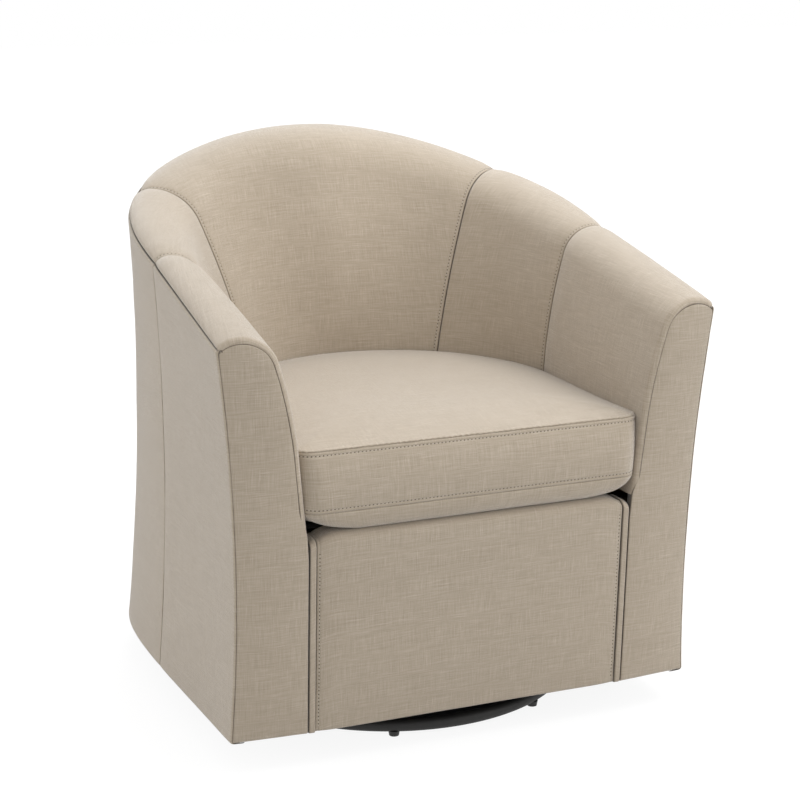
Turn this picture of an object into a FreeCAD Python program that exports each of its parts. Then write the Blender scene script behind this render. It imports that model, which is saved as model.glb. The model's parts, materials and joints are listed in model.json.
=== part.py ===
import FreeCAD, Part
import math
import os

os.makedirs("parts", exist_ok=True)

V = FreeCAD.Vector
UP = V(0, 0, 1)

# Outside outline of the upholstered body, seen from above. The chair faces -Y, x = 0 is its middle plane.
front_y = -361.0  # apron face at the bottom edge
back_y = 386.0  # rearmost line of the back
turn_y = -28.0  # where the straight sides start to turn round the back
bottom_front_half = 371.0  # half widths, at the arm fronts and where the sides start to turn
bottom_half = 383.0
bottom_squareness = 3.6  # 2 is an ellipse, more is a squarer back corner
top_front_half = 388.0
top_half = 381.0
top_squareness = 2.47

# Outline of the seat space at the seat line.
seat_front_half = 269.0
seat_half = 267.0
seat_turn_y = -75.0
seat_back_y = 193.0
seat_squareness = 2.0

# Heights above the floor.
body_bottom = 50.0
deck_top = 354.0
seat_line = 472.0
arm_front_height = 652.0
arm_back_height = 711.0
wing_back_height = 771.0
back_height = 846.0

# The padded wall's section: crown, roll over to the seat side, wall down to the seat line and below it.
# Four values each: at the arm front, the wing seam, the back seam and the middle of the back.
crown_widths = (35.0, 26.0, 27.0, 45.0)  # outer top corner to crest
crown_drops = (14.0, 14.0, 10.0, 12.0)  # the outer top corner lies this far under the crest
rolls = (58.0, 59.0, 88.0, 100.0)  # radius from the crest towards the seat
roll_turns = (73.0, 74.0, 66.0, 68.0)  # degrees that the roll turns before the wall starts
waists = (14.0, 13.0, 12.0, 12.0)  # how far the outside wall draws in between top and bottom
under_seat_lean = 13.0  # the wall draws in by this much below the seat line

# The seams' places round the body, as planes that fan out from the middle plane.
wing_seam_y = -54.0
back_seam_origin_y = 39.0
back_seam_angle = 31.0
outside_seam_foot_y = -26.0  # the outside seam slants, from the wing seam's top to here at the bottom edge
seam_width = 0.6
seam_share = 0.002  # each panel stops this share of a stretch short of its seam

# The front leans forward as it rises and is swept back towards the outer corners.
front_lean = 0.05
front_sweep = 0.077
apron_half = 254.0
apron_gap = 1.2  # to the arm front panels
apron_roll = 14.0  # radius where the apron folds back over the front rail
apron_fold = 6.0  # how far the fold reaches over that rail
welt_width = 9.0
welt_rise = 1.0  # the side bands stand this far in front of the apron
apron_pad_half = 252.0
apron_pad_rise = 6.0

# Layers.
cover = 2.5
cover_gap = 0.4
seam_gap = 1.0
foam = 26.0
foam_edge = 8.0
board = 9.0
board_inset = 5.0

# Wooden frame.
rail_thickness = 22.0
lower_rail_height = 40.0
lower_rail_width = 54.0
lower_rail_inset = 10.0
top_rail_inset = 14.0
top_rail_gap = 4.0  # under the padding
post_gap = 0.8  # under the top rails
top_rail_overlap = 2.0  # past the crest, towards the seat
seat_rail_height = 69.0
post_clearance = 1.0  # outside the posts, where the outline is narrowest, less its waist
wall_gap = 0.8  # round the posts, to the padding and the outside cover
front_rail_y = -339.0  # front face of the front rails and posts
post_thickness = 20.0
post_depth = 44.0
back_post_width = 60.0
back_post_inset = 8.0  # behind the outside cover at its waist
seat_back_rail_y = 131.0
corner_block = 60.0
corner_block_drop = 10.0
wood_gap = 0.2
joint_width = 4.0  # covers the joint between two lower rails
mounting_board_depth = 220.0
mounting_board_thickness = 18.0

# Springs and deck.
spring_wire = 3.8
spring_count = 5
spring_spacing = 88.0
spring_bar = 24.0  # straight length between two bends
spring_pitch = 24.0  # wanted distance from bar to bar
clip_wall = 2.4
clip_length = 16.0
clip_play = 0.1
spring_gap = 1.0  # between the clips and the deck pad
deck_pad_thickness = 13.0
deck_gap = 1.5
deck_front_gap = 1.0  # behind the folded apron
deck_corner = 5.0
seat_arcs = 4

# Swivel base.
swivel_y = -43.0
base_turn = 5.1
ring_outer_radius = 290.0
ring_tube = 20.0
glide_height = 6.0
glide_radius = 9.0
glide_plug_radius = 4.0
glide_plug_length = 9.0
glide_count = 7
glide_foot_radius = 7.5
glide_play = 0.1
glide_collar_rise = 2.0  # the collars cup the tube up to here
cross_bar_width = 30.0
cross_bar_short = 3.0  # the bars stop this far short of the ring's middle line
swivel_plate = 170.0
swivel_plate_thickness = 3.0
plate_corner = 8.0
swivel_hole_spacing = 134.0
bolt_radius = 3.0
bolt_head_radius = 6.0
bolt_head_height = 3.5
bolt_play = 0.3
thread_play = 0.05
screw_length = 18.0
bolt_length = 24.0
tee_nut_radius = 9.0
tee_nut_flange = 1.6
tee_nut_barrel = 4.5
tee_nut_depth = 10.0
ball_radius = 4.0
ball_count = 20
ball_circle = 62.0
ball_play = 0.03
race_half_width = 10.0
race_gap = 3.0
cage_thickness = 1.5
cage_half_width = 7.0
cage_play = 0.15
rivet_radius = 10.0
rivet_bore = 6.0
rivet_head_radius = 15.0
rivet_head_height = 3.0
running_play = 0.1
rivet_clearance = 3.0
dust_cloth = 1.2
dust_rise = 0.8  # the dust cover lies this far above the covers' bottom edges
dust_inset = 5.0
dust_corner = 6.0
bottom_arcs = 12

# Seat cushion.
cushion_gap = 1.2
cushion_front_y = -384.0  # front face at the lower seam
cushion_bottom_gap = 0.5
cushion_lower_seam = 387.0
cushion_upper_seam = 474.0
cushion_upper_back = 12.0  # the upper seam lies this far behind the lower one
cushion_fullness = 7.0  # how far the front swells between the seams
cushion_crown = 18.5
cushion_crown_run = 135.0  # from the upper seam to the flat middle
cushion_crown_shares = (0.0, 0.15, 0.4, 0.7, 1.0)  # sections on that run
cushion_foot_inset = 12.0
cushion_foot_shares = ((0.0, 1.0), (0.3, 0.4))  # of the height to the lower seam, and of that inset
cushion_corner = 26.0
core_gap = 0.3
zipper_width = 8.0
zipper_thickness = 0.7
zipper_front_y = 60.0

cutter_size = 1000.0  # larger than the chair, for shapes that only cut

cover_stack = cover + cover_gap
foam_back = cover_stack + foam
front_stack = cover_stack + board + wood_gap
rail_top_drop = foam_back + top_rail_gap
ring_center_height = glide_height + ring_tube / 2
ring_radius = ring_outer_radius - ring_tube / 2
bar_top = glide_height + ring_tube
wood_bottom = body_bottom + dust_rise + dust_cloth
lower_rail_top = wood_bottom + lower_rail_height
plate_top = body_bottom + dust_rise
ball_height = (bar_top + plate_top) / 2
spring_clip_height = spring_wire + 2 * clip_wall
pad_bottom = deck_top - cover - deck_pad_thickness
seat_rail_top = pad_bottom - spring_gap - spring_clip_height
narrowest_half = min(bottom_front_half, bottom_half, top_front_half, top_half)
post_face = narrowest_half - max(waists) - post_clearance
seat_rail_face = post_face - post_thickness  # outer faces of the seat side rails
panel_edge = apron_half + apron_gap
fold_back = front_rail_y + apron_fold
deck_front_y = fold_back + deck_front_gap


def save(name, shape):
    shape.exportStep("parts/" + name + ".step")
    print(name, "solids", len(shape.Solids), "volume", round(shape.Volume), "valid", shape.isValid())


def line(start, end):
    return Part.LineSegment(start, end).toShape()


def arc(start, middle, end):
    return Part.Arc(start, middle, end).toShape()


def box(x0, x1, y0, y1, z0, z1):
    return Part.makeBox(x1 - x0, y1 - y0, z1 - z0, V(x0, y0, z0))


def cylinder(radius, height, base, axis=UP):
    return Part.makeCylinder(radius, height, base, axis)


def mirrored(shape):
    return shape.mirror(V(0, 0, 0), V(1, 0, 0))


def save_pair(name, right_shape):
    save(name + "_right", right_shape)
    save(name + "_left", mirrored(right_shape))


def mix(a, b, share):
    return a + (b - a) * share


# Outlines seen from above: straight sides, then a superellipse round the back.
class Outline:
    def __init__(self, front_half, half, turn, back, squareness):
        self.front_half = front_half
        self.half = half
        self.turn = turn
        self.back = back
        self.squareness = squareness

    def half_at(self, y):
        """Half width of the straight part."""
        return mix(self.half, self.front_half, (self.turn - y) / (self.turn - front_y))

    def holds(self, x, y):
        if y <= self.turn:
            return x <= self.half_at(y)
        across = (x / self.half) ** self.squareness
        along = ((y - self.turn) / (self.back - self.turn)) ** self.squareness
        return across + along <= 1

    def reach(self, origin_y, angle):
        """Distance from (0, origin_y) to the outline, in the plane that leaves at this angle from +X."""
        near, far = 0.0, 1000.0
        for _ in range(50):
            middle = (near + far) / 2
            if self.holds(middle * math.cos(angle), origin_y + middle * math.sin(angle)):
                near = middle
            else:
                far = middle
        return near


bottom_outline = Outline(bottom_front_half, bottom_half, turn_y, back_y, bottom_squareness)
top_outline = Outline(top_front_half, top_half, turn_y, back_y, top_squareness)
seat_outline = Outline(seat_front_half, seat_half, seat_turn_y, seat_back_y, seat_squareness)


def along_the_wall(values, arm, wing, back):
    """Value at a station, from those at the arm front, wing seam, back seam and middle of the back."""
    front, wing_seam, back_seam, last = values
    return mix(front, wing_seam, arm) + (back_seam - wing_seam) * wing + (last - back_seam) * back


# A station is a vertical plane across the padded wall, with the wall's section in it.
# Along the body it runs from 0 at the arm front over 1 at the wing seam and 2 at the back seam
# to 3 at the middle of the back.
class Station:
    def __init__(self, along, side=1):
        self.along = along
        self.side = side
        arm = min(along, 1.0)
        wing = min(max(along - 1.0, 0.0), 1.0)
        back = min(max(along - 2.0, 0.0), 1.0)
        rise = mix(arm_front_height, arm_back_height, arm)
        rise += (wing_back_height - arm_back_height) * wing
        rise += (back_height - wing_back_height) * math.sin(math.pi / 2 * back)
        self.crest = rise
        self.origin_y = mix(front_y, wing_seam_y, arm) + (back_seam_origin_y - wing_seam_y) * wing
        self.angle = math.radians(mix(back_seam_angle * wing, 90.0, back))
        self.crown_width = along_the_wall(crown_widths, arm, wing, back)
        self.crown_drop = along_the_wall(crown_drops, arm, wing, back)
        self.roll = along_the_wall(rolls, arm, wing, back)
        self.roll_turn = math.radians(along_the_wall(roll_turns, arm, wing, back))
        self.waist = along_the_wall(waists, arm, wing, back)
        self.top = top_outline.reach(self.origin_y, self.angle)
        self.bottom = bottom_outline.reach(self.origin_y, self.angle)
        self.seat = seat_outline.reach(self.origin_y, self.angle)
        self.crown_radius = (self.crown_width**2 + self.crown_drop**2) / (2 * self.crown_drop)
        self.crest_reach = self.top - self.crown_width

    def at(self, reach, height):
        x = reach * math.cos(self.angle)
        y = self.origin_y + reach * math.sin(self.angle)
        return V(self.side * x, y, height)

    def crown_height(self, reach, depth):
        """Height of the crown at this depth under its surface."""
        across = self.crest_reach - reach
        return self.crest - self.crown_radius + math.sqrt((self.crown_radius - depth) ** 2 - across**2)

    def roll_place(self, turn, depth):
        """Reach and height on the roll, turn 0 at the crest, in radians."""
        radius = self.roll - depth
        return self.crest_reach - radius * math.sin(turn), self.crest - self.roll + radius * math.cos(turn)

    def wall_places(self, depth):
        """Start, middle and end of the wall's arc, which leaves the roll without a kink."""
        reach, height = self.roll_place(self.roll_turn, 0.0)
        drop = height - seat_line
        run = reach - self.seat
        chord_lean = math.atan2(run, drop)
        bend = math.pi / 2 - self.roll_turn - chord_lean
        radius = math.hypot(run, drop) / 2 / math.sin(bend)
        places = []
        for lean in (chord_lean + bend, chord_lean, chord_lean - bend):
            back = radius - depth
            start_lean = chord_lean + bend
            center_reach = reach + radius * math.cos(start_lean)
            center_height = height - radius * math.sin(start_lean)
            places.append((center_reach - back * math.cos(lean), center_height + back * math.sin(lean)))
        return places

    def seat_side(self, edge_reach, depth, bottom, flat_crown=False):
        """Edges of the seat side surface at this depth, from the outer top corner down to bottom."""
        crest = self.at(self.crest_reach, self.crest - depth)
        start, middle, end = [self.at(*place) for place in self.wall_places(depth)]
        foot = self.at(self.seat - under_seat_lean + depth, bottom)
        if flat_crown:
            first = line(self.at(edge_reach, self.crest - depth), crest)
        else:
            middle_reach = (edge_reach + self.crest_reach) / 2
            corner = self.at(edge_reach, self.crown_height(edge_reach, depth))
            first = arc(corner, self.at(middle_reach, self.crown_height(middle_reach, depth)), crest)
        return [
            first,
            arc(crest, self.at(*self.roll_place(self.roll_turn / 2, depth)), start),
            arc(start, middle, end),
            line(end, foot),
        ]

    def outside_reach(self, height):
        """Reach of the outside wall, drawn in at the waist."""
        share = (height - body_bottom) / (self.crest - self.crown_drop - body_bottom)
        return mix(self.bottom, self.top, share) - 4 * self.waist * share * (1 - share)

    def outside(self, inset, low, high):
        middle = (low + high) / 2
        foot = self.at(self.outside_reach(low) - inset, low)
        waist = self.at(self.outside_reach(middle) - inset, middle)
        return arc(foot, waist, self.at(self.top - inset, high))


def start_of(edge):
    return edge.valueAt(edge.FirstParameter)


def end_of(edge):
    return edge.valueAt(edge.LastParameter)


def ring_wire(first_run, second_run):
    """Closed wire from two runs of edges that go the same way."""
    far_end = line(end_of(first_run[-1]), end_of(second_run[-1]))
    near_end = line(start_of(second_run[0]), start_of(first_run[0]))
    return Part.Wire(first_run + [far_end] + list(reversed(second_run)) + [near_end])


def pad_wire(station, edge, upper, lower, bottom, flat_crown):
    reach = station.top - edge
    return ring_wire(
        station.seat_side(reach, upper, bottom),
        station.seat_side(reach, lower, bottom, flat_crown),
    )


def outside_wire(station):
    high = station.crown_height(station.top, cover) - seam_gap
    return ring_wire([station.outside(0, body_bottom, high)], [station.outside(cover, body_bottom, high)])


def front_wire(station, depth):
    """Whole section of an arm front, this far inside its outline."""
    corner_reach = station.top - depth
    corner = station.outside(depth, body_bottom + depth, station.crown_height(corner_reach, depth))
    around = [corner] + station.seat_side(corner_reach, depth, pad_bottom)
    foot = end_of(around[-1])
    toe = V(station.side * (panel_edge + depth), foot.y, body_bottom + depth)
    return Part.Wire(around + [line(foot, toe), line(toe, start_of(corner))])


def block_wire(station, outer, inner, low, high):
    corners = [
        station.at(outer, low),
        station.at(outer, high),
        station.at(inner, high),
        station.at(inner, low),
    ]
    return Part.makePolygon(corners + corners[:1])


def loft(wires):
    return Part.makeLoft(wires, True, False)


def stations(first, last, count, side=1):
    return [Station(mix(first, last, i / (count - 1)), side) for i in range(count)]


def round_the_back(right):
    """These stations of the right side, then their mirror images back to the left side."""
    left = [Station(station.along, -1) for station in reversed(right[:-1])]
    return right + left


def front_slab(side, near, far):
    """Solid between two planes parallel to an arm front, near and far mm behind it."""
    corners = []
    for x, z in ((0, 0), (cutter_size, 0), (cutter_size, cutter_size), (0, cutter_size)):
        y = front_y - front_lean * (z - body_bottom) + front_sweep * (x - apron_half)
        corners.append(V(side * x, y + near, z))
    face = Part.Face(Part.makePolygon(corners + corners[:1]))
    return face.extrude(V(0, far - near, 0))


def cut_front(shape, depth):
    return shape.cut(front_slab(1, front_y, depth))


def outline_wire(outline, inset, front, corner, height, arc_count):
    """Level wire: straight front, rounded front corners, straight sides, arcs round the back."""
    side_x = outline.half_at(front + corner) - inset
    turn = math.pi / 4
    middle = V(side_x - corner + corner * math.sin(turn), front + corner - corner * math.cos(turn), height)
    right = [V(side_x - corner, front, height), middle, V(side_x, front + corner, height)]
    rear = []
    for i in range(2 * arc_count + 1):
        angle = math.pi * i / (2 * arc_count)
        reach = outline.reach(outline.turn, angle if angle < math.pi / 2 else math.pi - angle) - inset
        rear.append(V(reach * math.cos(angle), outline.turn + reach * math.sin(angle), height))
    left = [V(-point.x, point.y, height) for point in reversed(right)]
    edges = [line(left[2], right[0]), arc(*right), line(right[2], rear[0])]
    edges += [arc(rear[2 * i], rear[2 * i + 1], rear[2 * i + 2]) for i in range(arc_count)]
    edges += [line(rear[-1], left[0]), arc(*left)]
    return Part.Wire(edges)


def sheet(wire, thickness):
    return Part.Face(wire).extrude(UP * thickness)



print("base")


def ring_tube_solid():
    return Part.makeTorus(ring_radius, ring_tube / 2, V(0, swivel_y, ring_center_height))


def glide_places():
    places = []
    for i in range(glide_count):
        turn = math.radians(360.0 * (i + 0.5) / glide_count + base_turn)
        places.append(V(ring_radius * math.sin(turn), swivel_y - ring_radius * math.cos(turn), 0))
    return places


def corner_places(turn, height):
    """Corners of the square hole pattern, the square turned by this many degrees."""
    places = []
    for i in range(4):
        angle = math.radians(45.0 + 90.0 * i + turn)
        reach = swivel_hole_spacing / math.sqrt(2)
        places.append(V(reach * math.cos(angle), swivel_y + reach * math.sin(angle), height))
    return places


def turned(shape, degrees):
    return shape.rotated(V(0, swivel_y, 0), UP, degrees)


def ring_with_plug_holes():
    ring = ring_tube_solid()
    for place in glide_places():
        ring = ring.cut(cylinder(glide_plug_radius, glide_plug_length + glide_height, place))
    return ring


def glide(place):
    collar = Part.makeCone(glide_foot_radius, glide_radius, glide_height + glide_collar_rise, place)
    plug = cylinder(glide_plug_radius - glide_play, glide_plug_length + glide_height - glide_play, place)
    return collar.cut(ring_tube_solid()).fuse(plug).removeSplitter()


def cross_bars():
    reach = ring_radius - cross_bar_short
    half = cross_bar_width / 2
    long_bar = box(-reach, reach, swivel_y - half, swivel_y + half, glide_height, bar_top)
    short_bar = box(-half, half, swivel_y + half, swivel_y + reach, glide_height, bar_top)
    bars = [long_bar, short_bar, turned(short_bar, 180.0)]
    finished = []
    for bar in bars:
        bar = turned(bar, base_turn + 45.0).cut(ring_tube_solid())
        for place in corner_places(base_turn, bar_top - screw_length):
            bar = bar.cut(cylinder(bolt_radius + thread_play, screw_length, place))
        finished.append(bar)
    return Part.makeCompound(finished)


def square_plate(height, turn, center_hole):
    half = swivel_plate / 2
    top = height + swivel_plate_thickness
    plate = box(-half, half, swivel_y - half, swivel_y + half, height, top)
    upright = [edge for edge in plate.Edges if abs(edge.tangentAt(edge.FirstParameter).z) > 0.5]
    plate = turned(plate.makeFillet(plate_corner, upright), turn)
    plate = plate.cut(cylinder(center_hole, swivel_plate_thickness, V(0, swivel_y, height)))
    for place in corner_places(turn, height):
        plate = plate.cut(cylinder(bolt_radius + bolt_play, swivel_plate_thickness, place))
    return plate


def headed_pin(seat, length, up):
    """Round head on the seat's outer side and a shank of this length through it."""
    head = cylinder(bolt_head_radius, bolt_head_height, seat, UP * up)
    return head.fuse(cylinder(bolt_radius, length, seat, UP * -up)).removeSplitter()


def race(low, high):
    center = V(0, swivel_y, low)
    ring = cylinder(ball_circle + race_half_width, high - low, center)
    ring = ring.cut(cylinder(ball_circle - race_half_width, high - low, center))
    return ring.cut(Part.makeTorus(ball_circle, ball_radius + ball_play, V(0, swivel_y, ball_height)))


def center_rivet():
    low = V(0, swivel_y, bar_top)
    head_seat = plate_top + running_play
    shank = cylinder(rivet_radius, head_seat - bar_top, low)
    head = cylinder(rivet_head_radius, rivet_head_height, V(0, swivel_y, head_seat))
    bore = cylinder(rivet_bore, head_seat + rivet_head_height - bar_top, low)
    return shank.fuse(head).removeSplitter().cut(bore)


lower_plate_top = bar_top + swivel_plate_thickness
save("base_ring", ring_with_plug_holes())
save("floor_glides", Part.makeCompound([glide(place) for place in glide_places()]))
save("base_cross_bars", cross_bars())
save("lower_swivel_plate", square_plate(bar_top, base_turn, rivet_radius))
screws = [headed_pin(place, screw_length, 1) for place in corner_places(base_turn, lower_plate_top)]
save("base_plate_screws", Part.makeCompound(screws))
save("lower_ball_race", race(lower_plate_top, ball_height - race_gap / 2))
save("swivel_centre_rivet", center_rivet())

print("bearing")


def ball_places():
    places = []
    for i in range(ball_count):
        angle = 2 * math.pi * i / ball_count
        places.append(V(ball_circle * math.cos(angle), swivel_y + ball_circle * math.sin(angle), ball_height))
    return places


def cage():
    center = V(0, swivel_y, ball_height - cage_thickness / 2)
    ring = cylinder(ball_circle + cage_half_width, cage_thickness, center)
    ring = ring.cut(cylinder(ball_circle - cage_half_width, cage_thickness, center))
    for place in ball_places():
        low = place - UP * (cage_thickness / 2)
        ring = ring.cut(cylinder(ball_radius + cage_play, cage_thickness, low))
    return ring


save("bearing_balls", Part.makeCompound([Part.makeSphere(ball_radius, place) for place in ball_places()]))
save("ball_cage", cage())

print("swivel plate and mounting board")


def bottom_wire(inset, front, height):
    return outline_wire(bottom_outline, inset, front, dust_corner, height, bottom_arcs)


def lower_rail(track):
    """Bent rail that follows the bottom outline."""
    wires = []
    for station in track:
        outer = station.bottom - lower_rail_inset
        wires.append(block_wire(station, outer, outer - lower_rail_width, wood_bottom, lower_rail_top))
    return loft(wires)


def clearance_holes(shape, low, high, radius, center_radius):
    for place in corner_places(0.0, low):
        shape = shape.cut(cylinder(radius, high - low, place))
    return shape.cut(cylinder(center_radius, high - low, V(0, swivel_y, low)))


def middle_solid(shape):
    return max(shape.Solids, key=lambda solid: solid.Volume)


front_stations = stations(-0.1, 1.0 - seam_share, 3)
wing_stations = stations(1.0 + seam_share, 2.0, 4)
back_stations = stations(2.0, 3.0, 7)
side_rail = cut_front(lower_rail(front_stations), front_stack)
back_rail = lower_rail(round_the_back(wing_stations + back_stations[1:]))
mounting_top = wood_bottom + mounting_board_thickness
joint_reach = Station(1.0).bottom - lower_rail_inset - lower_rail_width
joint_filler = box(
    joint_reach,
    bottom_half,
    wing_seam_y - joint_width / 2,
    wing_seam_y + joint_width / 2,
    wood_bottom,
    lower_rail_top,
)
rail_cutters = [side_rail, mirrored(side_rail), back_rail, joint_filler, mirrored(joint_filler)]
board_front = swivel_y - mounting_board_depth / 2
board_back = swivel_y + mounting_board_depth / 2
board_shape = box(-bottom_half, bottom_half, board_front, board_back, wood_bottom, mounting_top)
front_rail_end = front_rail_y + lower_rail_width
front_rail = box(-bottom_half, bottom_half, front_rail_y, front_rail_end, wood_bottom, lower_rail_top)
for neighbour in rail_cutters:
    board_shape = board_shape.cut(neighbour)
    front_rail = front_rail.cut(neighbour)
board_shape = middle_solid(board_shape)
for place in corner_places(0.0, wood_bottom):
    board_shape = board_shape.cut(cylinder(bolt_radius + bolt_play, mounting_board_thickness, place))
    barrel_low = place + UP * (mounting_board_thickness - tee_nut_depth)
    board_shape = board_shape.cut(cylinder(tee_nut_barrel, tee_nut_depth, barrel_low))
rivet_room_radius = rivet_head_radius + rivet_clearance
rivet_room = cylinder(rivet_room_radius, mounting_board_thickness, V(0, swivel_y, wood_bottom))
board_shape = board_shape.cut(rivet_room)

upper_plate_low = plate_top - swivel_plate_thickness
save("upper_ball_race", race(ball_height + race_gap / 2, upper_plate_low))
save("upper_swivel_plate", square_plate(upper_plate_low, 0.0, rivet_radius + running_play))
bolts = [headed_pin(place, bolt_length, -1) for place in corner_places(0.0, upper_plate_low)]
save("swivel_bolts", Part.makeCompound(bolts))


def tee_nut(place):
    barrel = cylinder(tee_nut_barrel, tee_nut_depth + tee_nut_flange, place - UP * tee_nut_depth)
    nut = barrel.fuse(cylinder(tee_nut_radius, tee_nut_flange, place)).removeSplitter()
    thread = cylinder(bolt_radius + thread_play, tee_nut_depth + tee_nut_flange, place - UP * tee_nut_depth)
    return nut.cut(thread)


save("swivel_tee_nuts", Part.makeCompound([tee_nut(place) for place in corner_places(0.0, mounting_top)]))
save("swivel_mounting_board", board_shape)

print("wooden frame")
save("lower_front_rail", middle_solid(front_rail))
save_pair("lower_side_rail", side_rail)
save("lower_back_rail", back_rail)

seat_rail_low = seat_rail_top - seat_rail_height
inner_face = seat_rail_face - rail_thickness
front_rail_back = front_rail_y + rail_thickness
back_rail_front = seat_back_rail_y - rail_thickness / 2
back_rail_back = seat_back_rail_y + rail_thickness / 2


def corner_blocks():
    blocks = []
    for corner_y, way in ((front_rail_back, 1), (back_rail_front, -1)):
        low = seat_rail_low
        points = [
            V(inner_face, corner_y, low),
            V(inner_face - corner_block, corner_y, low),
            V(inner_face, corner_y + way * corner_block, low),
        ]
        face = Part.Face(Part.makePolygon(points + points[:1]))
        block = face.extrude(UP * (seat_rail_height - corner_block_drop))
        blocks += [block, mirrored(block)]
    return Part.makeCompound(blocks)


def top_rail_under(station):
    return station.crest - rail_top_drop - rail_thickness


def top_rail(track):
    wires = []
    for station in track:
        outer = station.top - top_rail_inset
        inner = station.top - station.crown_width - top_rail_overlap
        top = station.crest - rail_top_drop
        wires.append(block_wire(station, outer, inner, top_rail_under(station), top))
    return loft(wires)


def over_the_posts(track):
    """Everything above the underside of the top rails."""
    wires = []
    for station in track:
        low = top_rail_under(station) - post_gap
        wires.append(block_wire(station, 2 * station.top, 0.3 * station.top, low, cutter_size))
    return loft(wires)


def room_wire(station):
    """Section of the space for the posts, inside the outside cover and behind the padding."""
    inset = cover + wall_gap
    depth = foam_back + wall_gap
    low = lower_rail_top
    high = station.crest - depth
    middle = (low + high) / 2
    places = [station.at(station.outside_reach(height) - inset, height) for height in (low, middle, high)]
    outer = arc(*places)
    inner = station.seat_side(station.outside_reach(high) - inset, depth, pad_bottom, True)
    foot = end_of(inner[-1])
    heel = V(foot.x, foot.y, low)
    return Part.Wire([outer] + inner + [line(foot, heel), line(heel, places[0])])


def post(front, over, room):
    shape = box(seat_rail_face, post_face, front, front + post_depth, lower_rail_top, back_height)
    return shape.cut(over).common(room)


def back_post(station):
    outer = min(station.top, station.bottom) - station.waist - cover - back_post_inset
    across = station.at(0, 0) - station.at(1, 0)
    sideways = V(-across.y, across.x, 0) * (back_post_width / 2)
    near = station.at(outer - rail_thickness, lower_rail_top)
    far = station.at(outer, lower_rail_top)
    corners = [near - sideways, far - sideways, far + sideways, near + sideways]
    face = Part.Face(Part.makePolygon(corners + corners[:1]))
    return face.extrude(UP * (station.crest - lower_rail_top))


save("upper_front_rail", box(
    -seat_rail_face, seat_rail_face, front_rail_y, front_rail_back, seat_rail_low, seat_rail_top
))
save_pair("seat_side_rail", box(
    inner_face, seat_rail_face, front_rail_back, back_rail_back, seat_rail_low, seat_rail_top
))
save("seat_back_rail", box(
    -inner_face, inner_face, back_rail_front, back_rail_back, seat_rail_low, seat_rail_top
))
save("seat_corner_blocks", corner_blocks())
over_arm = over_the_posts(stations(-0.1, 1.0, 3))
over_wing = over_the_posts(stations(1.0, 2.0, 4))
over_back = [over_wing, mirrored(over_wing), over_the_posts(round_the_back(back_stations))]
arm_room = loft([room_wire(station) for station in stations(-0.1, 1.0, 3)])
wing_room = loft([room_wire(station) for station in stations(1.0, 2.0, 4)])
save_pair("front_post", post(front_rail_y, over_arm, arm_room))
wing_post = post(wing_seam_y - post_depth / 2, over_arm, arm_room.fuse(wing_room))
save_pair("wing_post", wing_post.cut(over_back).removeSplitter())
back_post_stations = [Station(2.0), Station(3.0), Station(2.0, -1)]
save("back_posts", Part.makeCompound([back_post(station).cut(over_back) for station in back_post_stations]))
save_pair("arm_top_rail", cut_front(top_rail(front_stations), front_stack))
wing_rail = top_rail(wing_stations)
back_rail_top = top_rail(round_the_back(back_stations))
save("back_top_rail", back_rail_top.fuse([wing_rail, mirrored(wing_rail)]))


def front_panel(depth, near, far):
    envelope = loft([front_wire(station, depth) for station in stations(-0.2, 0.2, 3)])
    return envelope.common(front_slab(1, near, far))


save_pair("front_board", front_panel(board_inset, cover_stack, cover_stack + board))

print("springs and deck")


def spring(x):
    """Flat zigzag of straight bars and half turns, from the front rail to the back rail."""
    first_y = (front_rail_y + front_rail_back) / 2
    count = round((seat_back_rail_y - first_y) / spring_pitch)
    radius = (seat_back_rail_y - first_y) / count / 2
    height = seat_rail_top + clip_wall + spring_wire / 2
    half = spring_bar / 2
    edges = [line(V(x - half, first_y, height), V(x + half, first_y, height))]
    for i in range(count):
        way = 1 if i % 2 == 0 else -1
        low = V(x + way * half, first_y + 2 * radius * i, height)
        high = low + V(0, 2 * radius, 0)
        side = low + V(way * radius, radius, 0)
        edge_low = low + V(way * radius * math.sin(math.pi / 4), radius - radius * math.cos(math.pi / 4), 0)
        edge_high = edge_low + V(0, 2 * radius * math.cos(math.pi / 4), 0)
        edges += [arc(low, edge_low, side), arc(side, edge_high, high)]
        edges.append(line(high, high - V(way * spring_bar, 0, 0)))
    start = start_of(edges[0])
    profile = Part.Wire(Part.makeCircle(spring_wire / 2, start, V(1, 0, 0)))
    return Part.Wire(edges).makePipeShell([profile], True, True)


def spring_clip(x, y):
    half = spring_wire / 2 + clip_wall
    low = seat_rail_top
    block = box(x - clip_length / 2, x + clip_length / 2, y - half, y + half, low, low + 2 * half)
    bore_start = V(x - clip_length / 2, y, low + half)
    return block.cut(cylinder(spring_wire / 2 + clip_play, clip_length, bore_start, V(1, 0, 0)))


spring_lines = [spring_spacing * (i - (spring_count - 1) / 2) for i in range(spring_count)]
save("sinuous_springs", Part.makeCompound([spring(x) for x in spring_lines]))
clip_lines = ((front_rail_y + front_rail_back) / 2, seat_back_rail_y)
save("spring_clips", Part.makeCompound([spring_clip(x, y) for x in spring_lines for y in clip_lines]))


def deck_sheet(height, thickness):
    inset = under_seat_lean + deck_gap
    wire = outline_wire(seat_outline, inset, deck_front_y, deck_corner, height, seat_arcs)
    return sheet(wire, thickness)


save("deck_pad", deck_sheet(pad_bottom, deck_pad_thickness))
save("deck_cover", deck_sheet(deck_top - cover, cover))

print("padding and covers")


def skin(track):
    return loft([pad_wire(station, 0.0, 0.0, cover, pad_bottom, False) for station in track])


def padding(track):
    return loft([pad_wire(station, foam_edge, cover_stack, foam_back, pad_bottom, True) for station in track])


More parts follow.
